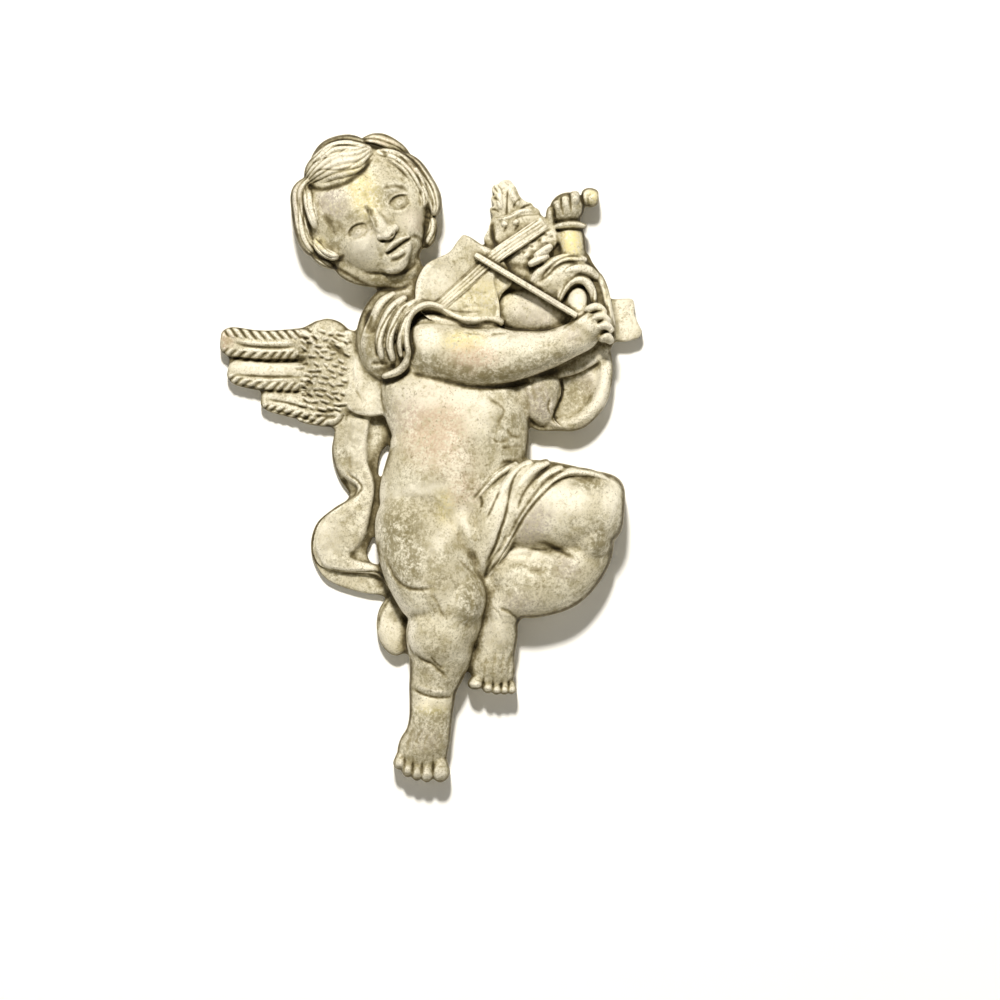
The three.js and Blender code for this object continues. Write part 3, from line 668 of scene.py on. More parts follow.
LOCKS = {
    "forelock": ([(-144, 165, 6), (-133, 175, 15.5), (-113, 183.5, 22.5), (-93, 191.5, 19.5),
                  (-77, 200, 9)], 15, 6),
    "over_forelock": ([(-138, 186, 6), (-122, 200, 9), (-103, 206, 9), (-84, 204, 8)], 18, 3),
    "crown": ([(-90, 206, 7), (-71, 207, 9.5), (-54, 199, 9), (-40, 187, 8)], 13, 3),
    "right_side": ([(-58, 197, 6), (-38, 185, 9), (-26, 168, 9.5), (-18, 152, 9.5), (-15, 140, 7),
                    (-17, 132, 4)], 22, 3),
    "right_curl": ([(-18, 136, 4), (-17, 124, 5), (-20, 112, 6), (-26, 102, 5)], 13, 2),
    "right_front": ([(-74, 197, 6), (-58, 192, 8), (-43, 181.5, 8.5), (-32, 168, 8), (-26, 153, 6.5),
                     (-26, 141, 4)], 13, 3),
    "left_side": ([(-137, 172, 7), (-149, 158, 9.5), (-149.5, 140, 9), (-147, 120, 8.5), (-141, 104, 8.5),
                   (-131, 92, 6)], 20, 3),
    "left_front": ([(-142, 166, 5), (-140, 150, 6.5), (-136, 133, 6), (-133, 120, 4.5)], 12, 2),
    "left_curl": ([(-136, 110, 5), (-128, 100, 6), (-118, 94, 5.5), (-110, 92, 4)], 17, 2),
    "nape": ([(-138, 99, 6), (-126, 89, 6), (-114, 82, 4)], 17, 2),
}


@dataclass(frozen=True)
class Hair(Feature):
    """Short locks that sweep off the brow, with one large curl over the forehead."""

    strand_depth: float = 1.5
    edge_depth: float = 3.2

    def mass(self, clay: Clay) -> None:
        """Lays the locks in with the skull, so that they melt into it."""
        for line, proud, _ in LOCKS.values():
            stations = [(x, z, half * 0.9, SKULL.depth_at(x, z) - 4, proud) for x, z, half in line]
            clay.swell(stations, rings=40)

    def detail(self, clay: Clay) -> None:
        """Lays each lock again with a crisp edge."""
        for line, proud, _ in LOCKS.values():
            stations = [(x, z, half, SKULL.depth_at(x, z) - 4, proud + 4) for x, z, half in line]
            clay.swell(stations, sides=20, rings=46, squareness=0.85)

    def carve(self, chisel: Chisel) -> None:
        """Combs the locks and cuts the shadow lines between them."""
        for line, _, count in LOCKS.values():
            chisel.strands([(x, z, 0.92 * half) for x, z, half in line], count, self.strand_depth)
        for line in (
            [(-143, 168), (-140, 163), (-130, 159.5), (-118, 160.5), (-105, 164.5), (-95, 170.5), (-85, 179),
             (-79, 190)],
            [(-86, 204), (-77, 203), (-68, 199), (-63, 191)],
            [(-57, 198), (-49, 192), (-39, 186), (-33, 180)],
        ):
            chisel.groove(line, 3.2, self.edge_depth, 1.0, taper=0.08)
        chisel.groove([(-33, 178), (-30, 168), (-28, 158)], 1.8, 1.6, 0.7)
        for line in (
            [(-135, 190), (-128, 197), (-118, 202), (-105, 203), (-93, 202)],
            [(-139, 183), (-128, 189), (-116, 192), (-106, 198), (-96, 201)],
            [(-138, 175), (-126, 179), (-114, 178), (-102, 180), (-90, 188)],
            [(-150, 152), (-149, 138), (-144, 122), (-139, 108)],
            [(-145, 140), (-142, 128), (-138, 116)],
            [(-157, 142), (-154, 124), (-148, 106), (-138, 92)],
            [(-60, 203), (-48, 196), (-36, 188), (-27, 177), (-20, 165), (-14, 152)],
            [(-27, 170), (-21, 160), (-17, 148), (-15, 139)],
            [(-136, 104), (-127, 96), (-116, 90), (-106, 88)],
            [(-13, 134), (-21, 131), (-27, 134)],
            [(-24, 124), (-25, 114), (-30, 104)],
        ):
            chisel.groove(line, 1.3, 1.8, 0.7)
        chisel.bump(-29, 156, 3.0, 5.0, -2.0, wash_and_shade=0.8)
        chisel.bump(-14, 118, 4.0, 12.0, -0.5, wash_and_shade=0.6)


@dataclass(frozen=True)
class Torso(Feature):
    """Bare chest and belly."""

    crease_depth: float = 1.4

    def mass(self, clay: Clay) -> None:
        """Chest, belly and hips in one form."""
        clay.swell([(-8, 62, 50, 26, 26), (-4, 14, 64, 28, 32), (0, -42, 69, 30, 35), (13, -86, 66, 30, 44),
            (2, -120, 68, 30, 46), (-18, -156, 58, 30, 43), (-22, -196, 40, 30, 30)], sides=44, rings=54,
            blunt=4)

    def carve(self, chisel: Chisel) -> None:
        """Soft folds of the belly and flank."""
        chisel.groove([(-60, -148), (-45, -146), (-28, -148), (-12, -154), (0, -164)], 4.0, self.crease_depth,
            0.1)
        chisel.groove([(12, -118), (20, -128), (22, -140), (20, -150)], 6.0, 1.2, 0.3)
        chisel.bump(26, -120, 18, 16, -0.8, wash_and_shade=0.25)
        for line in (
            [(37, -43), (41, -50), (49, -55), (54, -62), (49, -72), (46, -84)],
            [(56, -78), (62, -86), (70, -88)],
            [(40, -86), (47, -92), (58, -90)],
            [(50, -99), (60, -97), (72, -96)],
            [(50, -112), (60, -112), (68, -116)],
        ):
            chisel.groove(line, 2.2, 0.8, 0.75)
        chisel.groove([(-67, -36), (-68, -50), (-63, -64), (-56, -74)], 1.8, 1.0, 0.45)


@dataclass(frozen=True)
class HangingLeg(Feature):
    """Leg that hangs down at the left of the view, with its foot."""

    crease_depth: float = 2.4
    toes: tuple[tuple[float, float, float, float], ...] = (
        (-9, -417, 9.2, 15), (-22.5, -419, 7.2, 13), (-32.5, -418, 6.4, 12.5), (-41.5, -415, 6.2, 12),
        (-49.5, -409, 6.6, 10.5))

    def mass(self, clay: Clay) -> None:
        """Thigh, knee, calf, ankle and foot."""
        clay.swell([(-38, -142, 34, 34, 36), (-37, -168, 42, 38, 44), (-31, -190, 44.5, 40, 46),
            (-22, -214, 45.5, 42, 48), (-10, -240, 44, 40, 48), (-3, -262, 38, 36, 44),
            (-9, -285, 35, 34, 44), (-10, -303, 32, 32, 39), (-13, -320, 28, 30, 32), (-17, -337, 24, 28, 28),
            (-18, -352, 22.5, 26, 26), (-19.5, -370, 21.5, 26, 25), (-22, -386, 23, 24, 24),
            (-27, -400, 26, 22, 22), (-28, -413, 26, 20, 17), (-28, -424, 23, 18, 14)], sides=34, rings=90,
            blunt=6)
        clay.dome(Dome(12, -250, 24, 32, 50, 36, -12, 20))
        clay.dome(Dome(-11, -284, 31, 34, 48, 32, 0, 20))

    def detail(self, clay: Clay) -> None:
        """Toes."""
        lay_toes(clay, self.toes, 22, 20)

    def carve(self, chisel: Chisel) -> None:
        """Plump creases of the knee, calf and ankle."""
        chisel.grooves(
            ([(-66, -204), (-60, -216), (-54, -227), (-44, -236), (-30, -239),
             (-15, -237)], 2.6, self.crease_depth, 0.85),
            ([(-18, -243), (-12, -252), (-8, -262), (-2, -270)], 1.8, 1.2, 0.5),
            ([(-36, -270), (-42, -280), (-42, -292), (-36, -302)], 2.6, 1.0, 0.5),
            ([(6, -206), (16, -216), (26, -228), (31, -244)], 1.8, 1.2, 0.5),
            ([(18, -236), (22, -250), (20, -266), (14, -280)], 2.4, 1.0, 0.45),
            ([(-38, -300), (-28, -308), (-16, -314), (-10, -320), (-2, -328)], 2.2, self.crease_depth, 0.7),
            ([(-20, -304), (-14, -312), (-6, -318)], 1.5, 1.4, 0.8),
            ([(-38, -337), (-28, -343), (-12, -347), (2, -346)], 2.0, self.crease_depth, 0.85),
        )
        chisel.ridge([(-36, -333), (-24, -338), (-10, -341), (2, -340)], 2.6, 1.6)
        for x in (-44, -36, -27, -16):
            chisel.groove([(x + 8, -376), (x + 3, -390), (x, -402)], 2.2, 0.8, 0.4)
        carve_toes(chisel, self.toes)


def lay_toes(clay: Clay, toes: Sequence[tuple[float, float, float, float]], mid: float, rise: float) -> None:
    """Lays a row of toes.

    Args:
        clay: takes the forms.
        toes: (x, z, half width, half length) each, the first one the big toe.
        mid: depth of their centre lines in steps.
        rise: steps that the big toe stands in front of that.
    """
    for i, (x, z, half, long) in enumerate(toes):
        low = 1.0 * i
        clay.swell([(x + 0.5, z + long, half * 0.9, mid, rise - 3 - low), (x, z, half, mid, rise - 0.5 - low),
            (x - 0.5, z - 0.55 * long, half * 1.06, mid, rise - low),
            (x - 0.5, z - long, half, mid, rise - 3 - low)], sides=18, rings=30, blunt=1.8)


def carve_toes(chisel: Chisel, toes: Sequence[tuple[float, float, float, float]]) -> None:
    """Cuts between the toes and marks each nail.

    Args:
        chisel: carves the fused skin.
        toes: the toes as they were laid.
    """
    for (x, z, half, long), (next_x, next_z, next_half, _) in zip(toes[:-1], toes[1:]):
        gap_x = (x - half + next_x + next_half) / 2 if x > next_x else (x + half + next_x - next_half) / 2
        chisel.groove([(gap_x + 0.5, z + 1.0 * long), (gap_x, z), (gap_x, z - 0.8 * long)], 1.3, 1.6, 0.6,
            taper=0.35)
    for i, (x, z, half, long) in enumerate(toes):
        chisel.bump(x - 0.5, z - 0.72 * long, 0.6 * half, 0.3 * long, -1.0, wash_and_shade=0.45)
        chisel.bump(x + 0.8, z + (0.1 + 0.12 * (i % 3)) * long, 0.7 * half, 0.25 * long, -0.8, wash_and_shade=0.5)


@dataclass(frozen=True)
class BentLeg(Feature):
    """Leg bent sideways at the right of the view, with its foot."""

    crease_depth: float = 2.2
    toes: tuple[tuple[float, float, float, float], ...] = (
        (26, -331, 8.0, 8.5), (38.5, -335, 5.8, 8), (47, -337, 5.4, 7.5), (55, -337, 5.0, 7.5),
        (62, -337, 4.8, 7))

    def mass(self, clay: Clay) -> None:
        """Thigh, shin and foot."""
        clay.swell([(0, -150, 38, 28, 32), (48, -155, 44, 32, 44), (88, -156, 46, 38, 48),
            (132, -160, 42, 42, 46), (158, -159, 37, 40, 44), (174.5, -160, 33, 36, 38)], sides=34, rings=50,
            blunt=4)
        clay.swell([(149, -166, 20, 30, 32), (137, -201, 27, 32, 36), (110, -226, 33.5, 34, 38),
            (78, -238, 32.5, 34, 38), (56, -256, 23, 30, 32), (50, -284, 17, 28, 26)], sides=30, rings=50,
            blunt=4)
        clay.swell([(136, -164, 24, 36, 46), (142, -187, 21.5, 36, 43), (132, -210, 23, 34, 39)], sides=26,
            rings=30)
        clay.swell([(40, -200, 14, 34, 16), (66, -201, 15, 34, 21), (92, -200, 13, 34, 18)], sides=26,
            rings=30)
        clay.swell([(40, -232, 16, 30, 28), (62, -226, 26, 32, 34), (92, -226, 26, 34, 34)], sides=26,
            rings=30)
        clay.swell([(36, -222, 9, 30, 26), (38, -238, 10, 30, 22), (40, -256, 9, 28, 20)], rings=24)
        clay.swell([(52, -258, 17, 28, 28), (49, -284, 19, 26, 26), (45, -302, 20, 24, 24),
            (43, -318, 22.5, 22, 22), (43, -336, 22, 19, 17)], sides=24, rings=40, blunt=5)

    def detail(self, clay: Clay) -> None:
        """Toes."""
        lay_toes(clay, self.toes, 22, 20)

    def carve(self, chisel: Chisel) -> None:
        """Fold behind the knee, ankle crease and toes."""
        chisel.groove([(84, -192), (95, -193), (104, -197), (114, -203), (126, -209)], 3.0, self.crease_depth,
            0.85)
        chisel.ridge([(50, -211), (58, -205), (72, -201.5), (88, -203), (100, -208), (110, -217)], 4.0, 2.6)
        # Shallow hollow below the calf's top edge, darkened as painted shade as well.
        chisel.bump(84, -219, 16, 8, -2.6, -8, wash_and_shade=0.6)
        chisel.grooves(
            ([(48, -257), (58, -261), (68, -270), (70, -278)], 2.2, self.crease_depth, 0.5),
            ([(42, -256), (48, -262), (52, -270)], 1.6, 1.0, 0.35),
            ([(124, -130), (138, -131), (152, -134)], 5.0, 0.8, 0.45),
            ([(150, -170), (152, -184), (148, -198)], 3.5, 0.8, 0.5),
            ([(26, -318), (34, -312), (44, -310)], 2.0, 0.8, 0.3),
        )
        for x in (34, 43, 51, 58):
            chisel.groove([(x + 3, -300), (x + 1, -312), (x, -326)], 2.0, 0.9, 0.45)
        carve_toes(chisel, self.toes)


@dataclass(frozen=True)
class LapDrapery(Feature):
    """Cloth over the lap whose folds sweep from the hip to between the legs."""

    fold_line_depth: float = 2.4

    def mass(self, clay: Clay) -> None:
        """Smooth apron under the folds."""
        clay.swell([(78, -128, 19, 32, 46), (56, -150, 27, 32, 48), (42, -180, 24, 32, 46),
            (34, -206, 14, 32, 38), (32, -236, 5, 30, 24)], rings=40)
        clay.swell([(4, -150, 14, 30, 36), (16, -176, 16, 32, 40), (26, -206, 14, 32, 36)], rings=30)

    def detail(self, clay: Clay) -> None:
        """The folds."""
        for fold in (
            [(68, -113, 4, 50, 20), (48, -124, 5, 54, 20), (32, -141, 5, 54, 18), (20, -156, 4, 52, 14)],
            [(84, -112, 6, 50, 21), (66, -124, 7, 54, 23), (52, -144, 7.5, 56, 22), (44, -168, 7, 54, 20),
             (34, -196, 5, 50, 16)],
            [(100, -112, 6, 50, 21), (82, -122, 7.5, 55, 24), (66, -142, 7.5, 58, 22), (58, -168, 7, 56, 21),
             (46, -200, 6, 50, 18), (36, -226, 4, 42, 14)],
            [(114, -118, 6, 54, 22), (94, -128, 7, 58, 22), (78, -147, 7, 60, 21), (67, -168, 6.5, 58, 20),
             (55, -190, 5, 54, 18)],
            [(160, -131, 3, 54, 18), (140, -124, 5, 56, 19), (116, -124, 5.5, 59, 22),
             (98, -137, 5.5, 60, 22), (80, -157, 5.5, 60, 20), (64, -182, 5.5, 55, 18), (48, -209, 5, 46, 18),
             (36, -230, 4, 40, 14)],
        ):
            clay.swell(fold, sides=14, rings=44, sink=16, blunt=5)

    def carve(self, chisel: Chisel) -> None:
        """Cuts the lines between the folds."""
        for line, depth in (
            ([(22, -151), (30, -141), (40, -130), (50, -121), (58, -115.5), (66, -113)], 1.6),
            ([(80, -113), (70, -120), (63, -130), (60, -141), (58, -152), (55, -166), (50, -181), (45, -196),
             (36, -214)], 3.0),
            ([(101, -117), (90, -124), (80, -134), (72, -146), (67, -160)], 2.4),
            ([(50, -140), (45, -151), (41, -160), (37, -167)], 2.0),
            ([(131, -124), (115, -127.5), (105, -133), (95, -142), (85, -152.5), (75, -165.5), (65, -182.5),
             (57, -197.5), (48, -211), (34, -229)], 3.2),
            ([(122, -121), (108, -123), (97, -130), (86, -142), (76, -156), (66, -172), (58, -188)], 1.6),
            ([(30, -146), (32, -152), (31, -158)], 1.2),
            ([(52, -196), (44, -206), (38, -218), (34, -228)], 1.6),
        ):
            chisel.groove(line, 1.9, depth * self.fold_line_depth / 2.4, 0.85, taper=0.12)


@dataclass(frozen=True)
class BowArm(Feature):
    """Arm across the chest that draws the bow, with its short sleeve and hand."""

    fold_depth: float = 3.0

    def mass(self, clay: Clay) -> None:
        """Arm, sleeve and palm."""
        clay.swell([(-46, -1, 26, 48, 20), (-24, 1, 28, 52, 26), (0, -2.5, 28, 54, 28), (22, -7, 29, 54, 30),
            (46, -6.5, 28.5, 54, 31), (64, -6, 25, 54, 30), (82, -3.5, 22, 54, 28), (100, 0.5, 18.5, 54, 26),
            (118, 8, 17, 54, 25), (134, 15, 17, 54, 22), (146, 20, 15, 52, 20)], sides=30, rings=64, blunt=5)
        clay.swell([(-34, 62, 14, 26, 20), (-54, 46, 23, 28, 27), (-65, 22, 27, 30, 29),
            (-65, -4, 27, 30, 29), (-57, -30, 20, 28, 25)], sides=30, rings=40)
        clay.dome(Dome(138, 24, 19, 17, 52, 27, 25))

    def detail(self, clay: Clay) -> None:
        """Fingers and the sleeve's folds."""
        for finger in (
            [(134, 38, 4, 66, 13), (146, 42, 4.4, 66, 14), (156, 36, 3.6, 64, 12)],
            [(140, 30, 4, 68, 13), (150, 33, 4.4, 68, 14), (160, 27, 3.6, 64, 12)],
            [(144, 20, 4, 66, 13), (154, 24, 4.2, 66, 13), (163, 18, 3.6, 62, 10)],
            [(148, 10, 4.6, 60, 12), (156, 12, 5.2, 60, 12), (162, 6, 4.2, 58, 10)],
        ):
            clay.swell(finger, sides=14, rings=24, sink=14)
        for fold in (
            [(-54, 57, 3.6, 44, 13), (-68, 46, 5, 48, 14), (-76, 30, 5, 48, 13), (-84, 8, 5.4, 44, 12),
             (-82, -10, 4, 42, 10)],
            [(-43, 53, 4, 50, 14), (-58, 40, 5, 54, 15), (-67, 22, 5, 56, 15), (-70, 6, 4.6, 55, 15),
             (-67, -10, 3.6, 52, 13)],
            [(-33, 49, 3.4, 52, 14), (-48, 38, 4.2, 56, 15), (-57, 20, 4.6, 59, 15), (-60, 4, 4.2, 58, 15),
             (-56, -12, 3.6, 54, 13)],
            [(-30, 43, 2.4, 54, 14), (-42, 35, 3.4, 58, 15), (-48, 20, 3.6, 61, 15), (-50, 4, 3.2, 60, 14),
             (-48, -8, 2.6, 57, 12)],
            [(-4, 41, 3.4, 56, 13), (-22, 45, 3.6, 58, 15), (-36, 38, 3.4, 60, 16), (-42, 26, 3.2, 62, 16),
             (-43, 8, 3.4, 62, 16), (-41, -6, 3.6, 60, 15), (-49, -20, 4.2, 56, 14),
             (-68, -27.5, 3.6, 48, 12)],
        ):
            clay.swell(fold, sides=14, rings=44, sink=18, blunt=5)
        clay.swell([(-30, 47, 3, 50, 12), (-16, 45.5, 4, 50, 14), (-5, 40, 4, 50, 14), (6, 33, 4.5, 50, 14),
            (22, 30, 5.5, 50, 14), (40, 31, 5, 50, 13), (54, 26, 4, 50, 12)], sides=14, rings=44, sink=16,
            blunt=6)

    def carve(self, chisel: Chisel) -> None:
        """Folds of the sleeve, elbow creases, wrist line, knuckles and painted shade on the lower half of the
        arm.
        """
        for line in (
            [(-50, 47), (-57, 39), (-63.4, 30), (-69, 19), (-72.5, 7), (-72.5, -8)],
            [(-38, 47), (-46, 40), (-53, 28), (-59, 17), (-61.5, 6), (-60, -12)],
            [(-38, 38.5), (-45, 32), (-50, 20), (-53, 7), (-49, -8)],
        ):
            chisel.groove(line, 1.7, self.fold_depth, 0.95, taper=0.12)
        chisel.grooves(
            ([(-46, 6), (-46.5, 0), (-49, -6)], 1.4, 1.6, 0.8),
            ([(-62, 40), (-68, 30), (-72, 20)], 1.3, 1.0, 0.5),
            ([(-4, 32), (-14, 36), (-24, 36.5), (-33, 32), (-38, 24), (-39, 14), (-36.5, 4), (-37, -4),
             (-42, -14)], 3.4, 4.0, 1.0, 0.08),
        )
        chisel.bump(-22, 34, 18, 6, -3.0, -5, wash_and_shade=0.85)
        chisel.grooves(
            ([(-34, 33), (-25, 37), (-14, 36), (-4, 32), (6, 28.5), (14, 24), (24, 23), (38, 26), (50, 24),
             (62, 19.5), (84, 18), (102, 19), (110, 21)], 2.4, 3.0, 0.95, 0.05),
            ([(-30, 50), (-16, 46.5), (-5, 41), (5, 38), (20, 37), (32, 37)], 1.4, 1.6, 0.55),
            ([(28, 26), (38, 28), (50, 25)], 1.3, 1.2, 0.6),
            ([(13, 17), (20, 15.5), (31, 14.5)], 1.6, 1.2, 0.65),
            ([(40, 14), (50, 15.5), (62, 17)], 2.4, 1.4, 0.6),
            ([(-79, -14), (-70, -13.5), (-60, -14)], 3.4, 2.5, 1.0),
            ([(-80, -20), (-72, -21), (-62, -18), (-54, -15)], 4.0, 2.0, 0.85),
            ([(-80, 40), (-81, 28), (-80, 15)], 6.5, 6.0, 1.0, 0.3),
        )
        chisel.bump(-84, 4, 6, 14, 0, wash_and_shade=0.35)
        chisel.groove([(-70, -32), (-58, -31), (-48, -26), (-38, -20)], 4.0, 3.6, 1.0)
        chisel.groove([(-38, -24), (-20, -28), (0, -33), (20, -37.5), (40, -38.5), (60, -36), (80, -31)], 3.0,
            2.4, 1.0, taper=0.05)
        # Flat darkening on the lower half of the arm: painted shade under the arm.
        chisel.bump(0, -20, 56, 8, 0, -8, wash_and_shade=0.4)
        chisel.bump(56, -24, 40, 9, 0, 10, wash_and_shade=0.5)
        chisel.grooves(
            ([(112, 20), (120, 26), (130, 33), (139, 40)], 1.8, 2.6, 0.95, 0.1),
            ([(146, 25.5), (150, 28), (154, 31)], 1.3, 1.8, 0.9),
            ([(149, 13), (155, 17), (160, 20), (165, 24)], 1.4, 2.2, 0.95),
            ([(140, 36), (147, 38), (154, 38)], 1.2, 1.6, 0.6),
            ([(136, 30), (141, 33), (146, 32)], 1.2, 1.4, 0.5),
        )
        chisel.bump(163, 15, 3.4, 5.5, -3.0, wash_and_shade=1.0)
        chisel.groove([(116, 6), (126, 10), (134, 6)], 3.0, 0.8, 0.35)
        chisel.bump(93, 7, 2.2, 3.0, -0.8, wash_and_shade=0.6)
        chisel.bump(98.5, 4, 2.2, 3.0, -0.8, wash_and_shade=0.6)


@dataclass(frozen=True)
class Violin(Feature):
    """Violin held flat, with its waist, raised fingerboard and four strings."""

    body_depth: float = 60.0
    board_rise: float = 2.4
    string_width: float = 0.75
    string_depth: float = 1.3
    string_shares: tuple[float, ...] = (0.1, 0.37, 0.63, 0.9)

    def mass(self, clay: Clay) -> None:
        """Body of the violin."""
        clay.slab([(-33, 46), (-34, 62), (-30, 75), (-22, 86), (-10, 92), (0, 97), (8, 108), (14, 114),
            (22, 111), (32, 104), (44, 98), (56, 84), (62, 66), (52, 56), (47, 40), (48, 26), (20, 22),
            (-20, 30)], self.body_depth - 4)
        clay.slab([(44, 98), (50, 128), (70, 136), (90, 134), (103, 124), (107, 110), (100, 94), (86, 74),
            (66, 60)], self.body_depth - 14)

    def detail(self, clay: Clay) -> None:
        """Belly of the violin and the fingerboard."""
        clay.slab([(-33, 46), (-34, 62), (-30, 75), (-22, 86), (-10, 92), (0, 97), (8, 108), (14, 114),
            (20, 111), (30, 104), (42, 97), (50, 88), (44, 70), (47, 56), (50, 38), (48, 26), (20, 22),
            (-20, 30)], self.body_depth, edge=2.4, base=30)
        top = self.body_depth + self.board_rise
        clay.swell([(-10, 44, 6.4, 40, top - 40), (16, 66, 6.8, 40, top - 40), (46, 93, 7.4, 40, top - 41),
            (72, 111, 7.6, 36, top - 42), (95, 127, 7.8, 34, top - 46)], sides=18, rings=60, squareness=0.35,
            blunt=14, sink=16)

    def carve(self, chisel: Chisel) -> None:
        """Strings, edges of the waist and the sound holes."""
        for share in self.string_shares:
            line = [(-15 + 11 * share, 47 - 6 * share), (14 + 10 * share, 73 - 8 * share),
                    (42 + 8 * share, 98 - 10 * share), (88 + 12 * share, 130 - 8 * share)]
            chisel.groove(line, self.string_width, self.string_depth, 0.6, taper=0.03)
        for line in (
            [(-16, 46), (6, 66), (30, 88), (43, 99), (66, 114), (89, 130)],
            [(-4, 40), (16, 57), (39, 79), (51, 87), (76, 104), (102, 121)],
        ):
            chisel.groove(line, 1.2, 1.2, 0.6, taper=0.03)
        chisel.grooves(
            ([(47, 33), (46, 42), (49, 52), (54, 57.5), (62, 59), (74, 59)], 3.0, 1.8, 0.7),
            ([(44, 99), (46, 104), (43, 112), (42, 122), (44, 128)], 2.8, 3.0, 0.95),
            ([(52, 82), (62, 84), (74, 82), (84, 78)], 4.0, 1.6, 0.6),
            ([(10, 40), (20, 43), (32, 43), (44, 38)], 2.5, 1.0, 0.35),
            ([(14, 60), (24, 56), (40, 56)], 2.0, 0.6, 0.3),
            ([(55, 128), (56, 122), (53, 116)], 1.3, 1.4, 0.7),
            ([(66, 128), (68, 124), (64, 118)], 1.3, 1.4, 0.7),
            ([(88, 92), (92, 95), (93, 101)], 2.2, 1.4, 0.6),
        )
        for x, z, turn in (
            (70, 100, 20),
            (78, 106, -10),
            (86, 112, 30),
            (94, 108, 0),
            (76, 94, 40),
            (98, 116, 20),
            (84, 100, -20),
            (92, 118, 10),
        ):
            chisel.bump(x, z, 5.0, 3.2, 2.2, turn)
            chisel.bump(x + 3.5, z - 3.5, 3.4, 2.4, -1.6, turn, wash_and_shade=0.55)


@dataclass(frozen=True)
class Bow(Feature):
    """Bow whose stick and hair show as two thin ridges."""

    ends: tuple[Point, Point] = ((24.5, 94.5), (127, 33))
    half_width: float = 3.0

    def mass(self, clay: Clay) -> None:
        """The bow has no broad form."""

    def detail(self, clay: Clay) -> None:
        """Stick with its squared end."""
        (x0, z0), (x1, z1) = self.ends
        clay.swell([(x0, z0, self.half_width, 66, 7), ((x0 + x1) / 2, (z0 + z1) / 2, self.half_width, 67, 7),
            (x1, z1, self.half_width, 69, 7)], sides=14, rings=60, sink=12, blunt=12)

    def carve(self, chisel: Chisel) -> None:
        """Line between the stick and its hair, and the shadows beside them."""
        chisel.stroke(self.ends, self.half_width, 0.5)
        chisel.groove(self.ends, 0.8, 1.8, 0.9, taper=0.02)
        (x0, z0), (x1, z1) = self.ends
        shift = self.half_width + 1.2
        across = np.array([x0 - x1, z0 - z1])
        across = np.array([-across[1], across[0]]) / np.hypot(*across) * shift
        for sign, wash_and_shade in ((1, 0.5), (-1, 0.85)):
            chisel.stroke([(x0 + sign * across[0], z0 + sign * across[1]),
                (x1 + sign * across[0], z1 + sign * across[1])], 1.2, wash_and_shade)


@dataclass(frozen=True)
class LeafCrown(Feature):
    """Acanthus leaf behind the head of the violin, over a curled rim."""

    thickness: float = 42.0
    vein_depth: float = 2.4
    outline: tuple[Point, ...] = (
        (40, 96), (36, 104), (34, 110), (38, 119), (41, 128), (43, 134), (40.5, 137), (40, 141), (44, 143),
        (41.5, 148), (42, 153), (46, 153), (42, 158), (43, 163), (48, 165), (52, 168.5), (59, 169), (63, 165),
        (66, 161), (69, 154), (72, 150), (77, 147), (81, 146), (84, 142), (88, 140), (90, 136), (88, 130),
        (70, 104))

    def mass(self, clay: Clay) -> None:
        """Blade of the leaf."""
        clay.slab(self.outline, self.thickness - 6, smooth=False, edge=1.0)

    def detail(self, clay: Clay) -> None:
        """Blade again with crisp lobes, and the rim with its curls."""
        clay.slab(self.outline, self.thickness, edge=1.6)
        clay.swell([(44, 130, 2.6, 34, 12), (58, 132, 3.4, 36, 13), (72, 138, 3.4, 36, 12),
            (87, 138, 2.6, 34, 10)], sides=12, rings=36, sink=18)
        clay.swell([(60, 168, 2.0, 26, 12), (61, 158, 5, 30, 17), (66, 148, 6, 30, 17), (72, 141, 4, 30, 14)],
            sides=14, rings=30, sink=12)
        clay.swell([(50, 166, 2.0, 26, 12), (49.5, 156, 4.6, 30, 16), (50, 145, 5, 30, 17),
            (51, 136, 4, 30, 14)], sides=14, rings=30, sink=12)
        for x, z in ((55, 125), (66, 127)):
            clay.dome(Dome(x, z, 4.5, 4.5, 42, 10, 0, 14), sides=16, rings=14)

    def carve(self, chisel: Chisel) -> None:
        """Midrib, side veins and curls."""
        chisel.groove([(57.5, 160), (57, 148), (56.5, 134)], 1.4, self.vein_depth, 0.9)
        for line in (
            [(47, 165), (51, 160), (53, 154)],
            [(43, 152), (48, 149), (52, 143)],
            [(41, 140), (46, 139), (50, 136)],
            [(62, 160), (60, 153)],
            [(70, 150), (66, 147), (63, 141)],
            [(82, 145), (75, 143), (70, 139)],
            [(44, 162), (47, 158), (50, 154)],
        ):
            chisel.groove(line, 1.2, 1.7, 0.75)
        chisel.groove([(44, 131.5), (52, 131.5), (60, 134), (70, 139)], 1.1, 1.4, 0.75)
        chisel.groove([(62, 128), (70, 132.5), (80, 134), (88, 134)], 1.1, 1.2, 0.6)
        for x, z in ((55, 125), (66, 127)):
            chisel.groove([(x - 3, z + 1), (x, z + 3), (x + 3, z), (x, z - 3), (x - 2, z - 1)], 1.0, 1.2, 0.7)


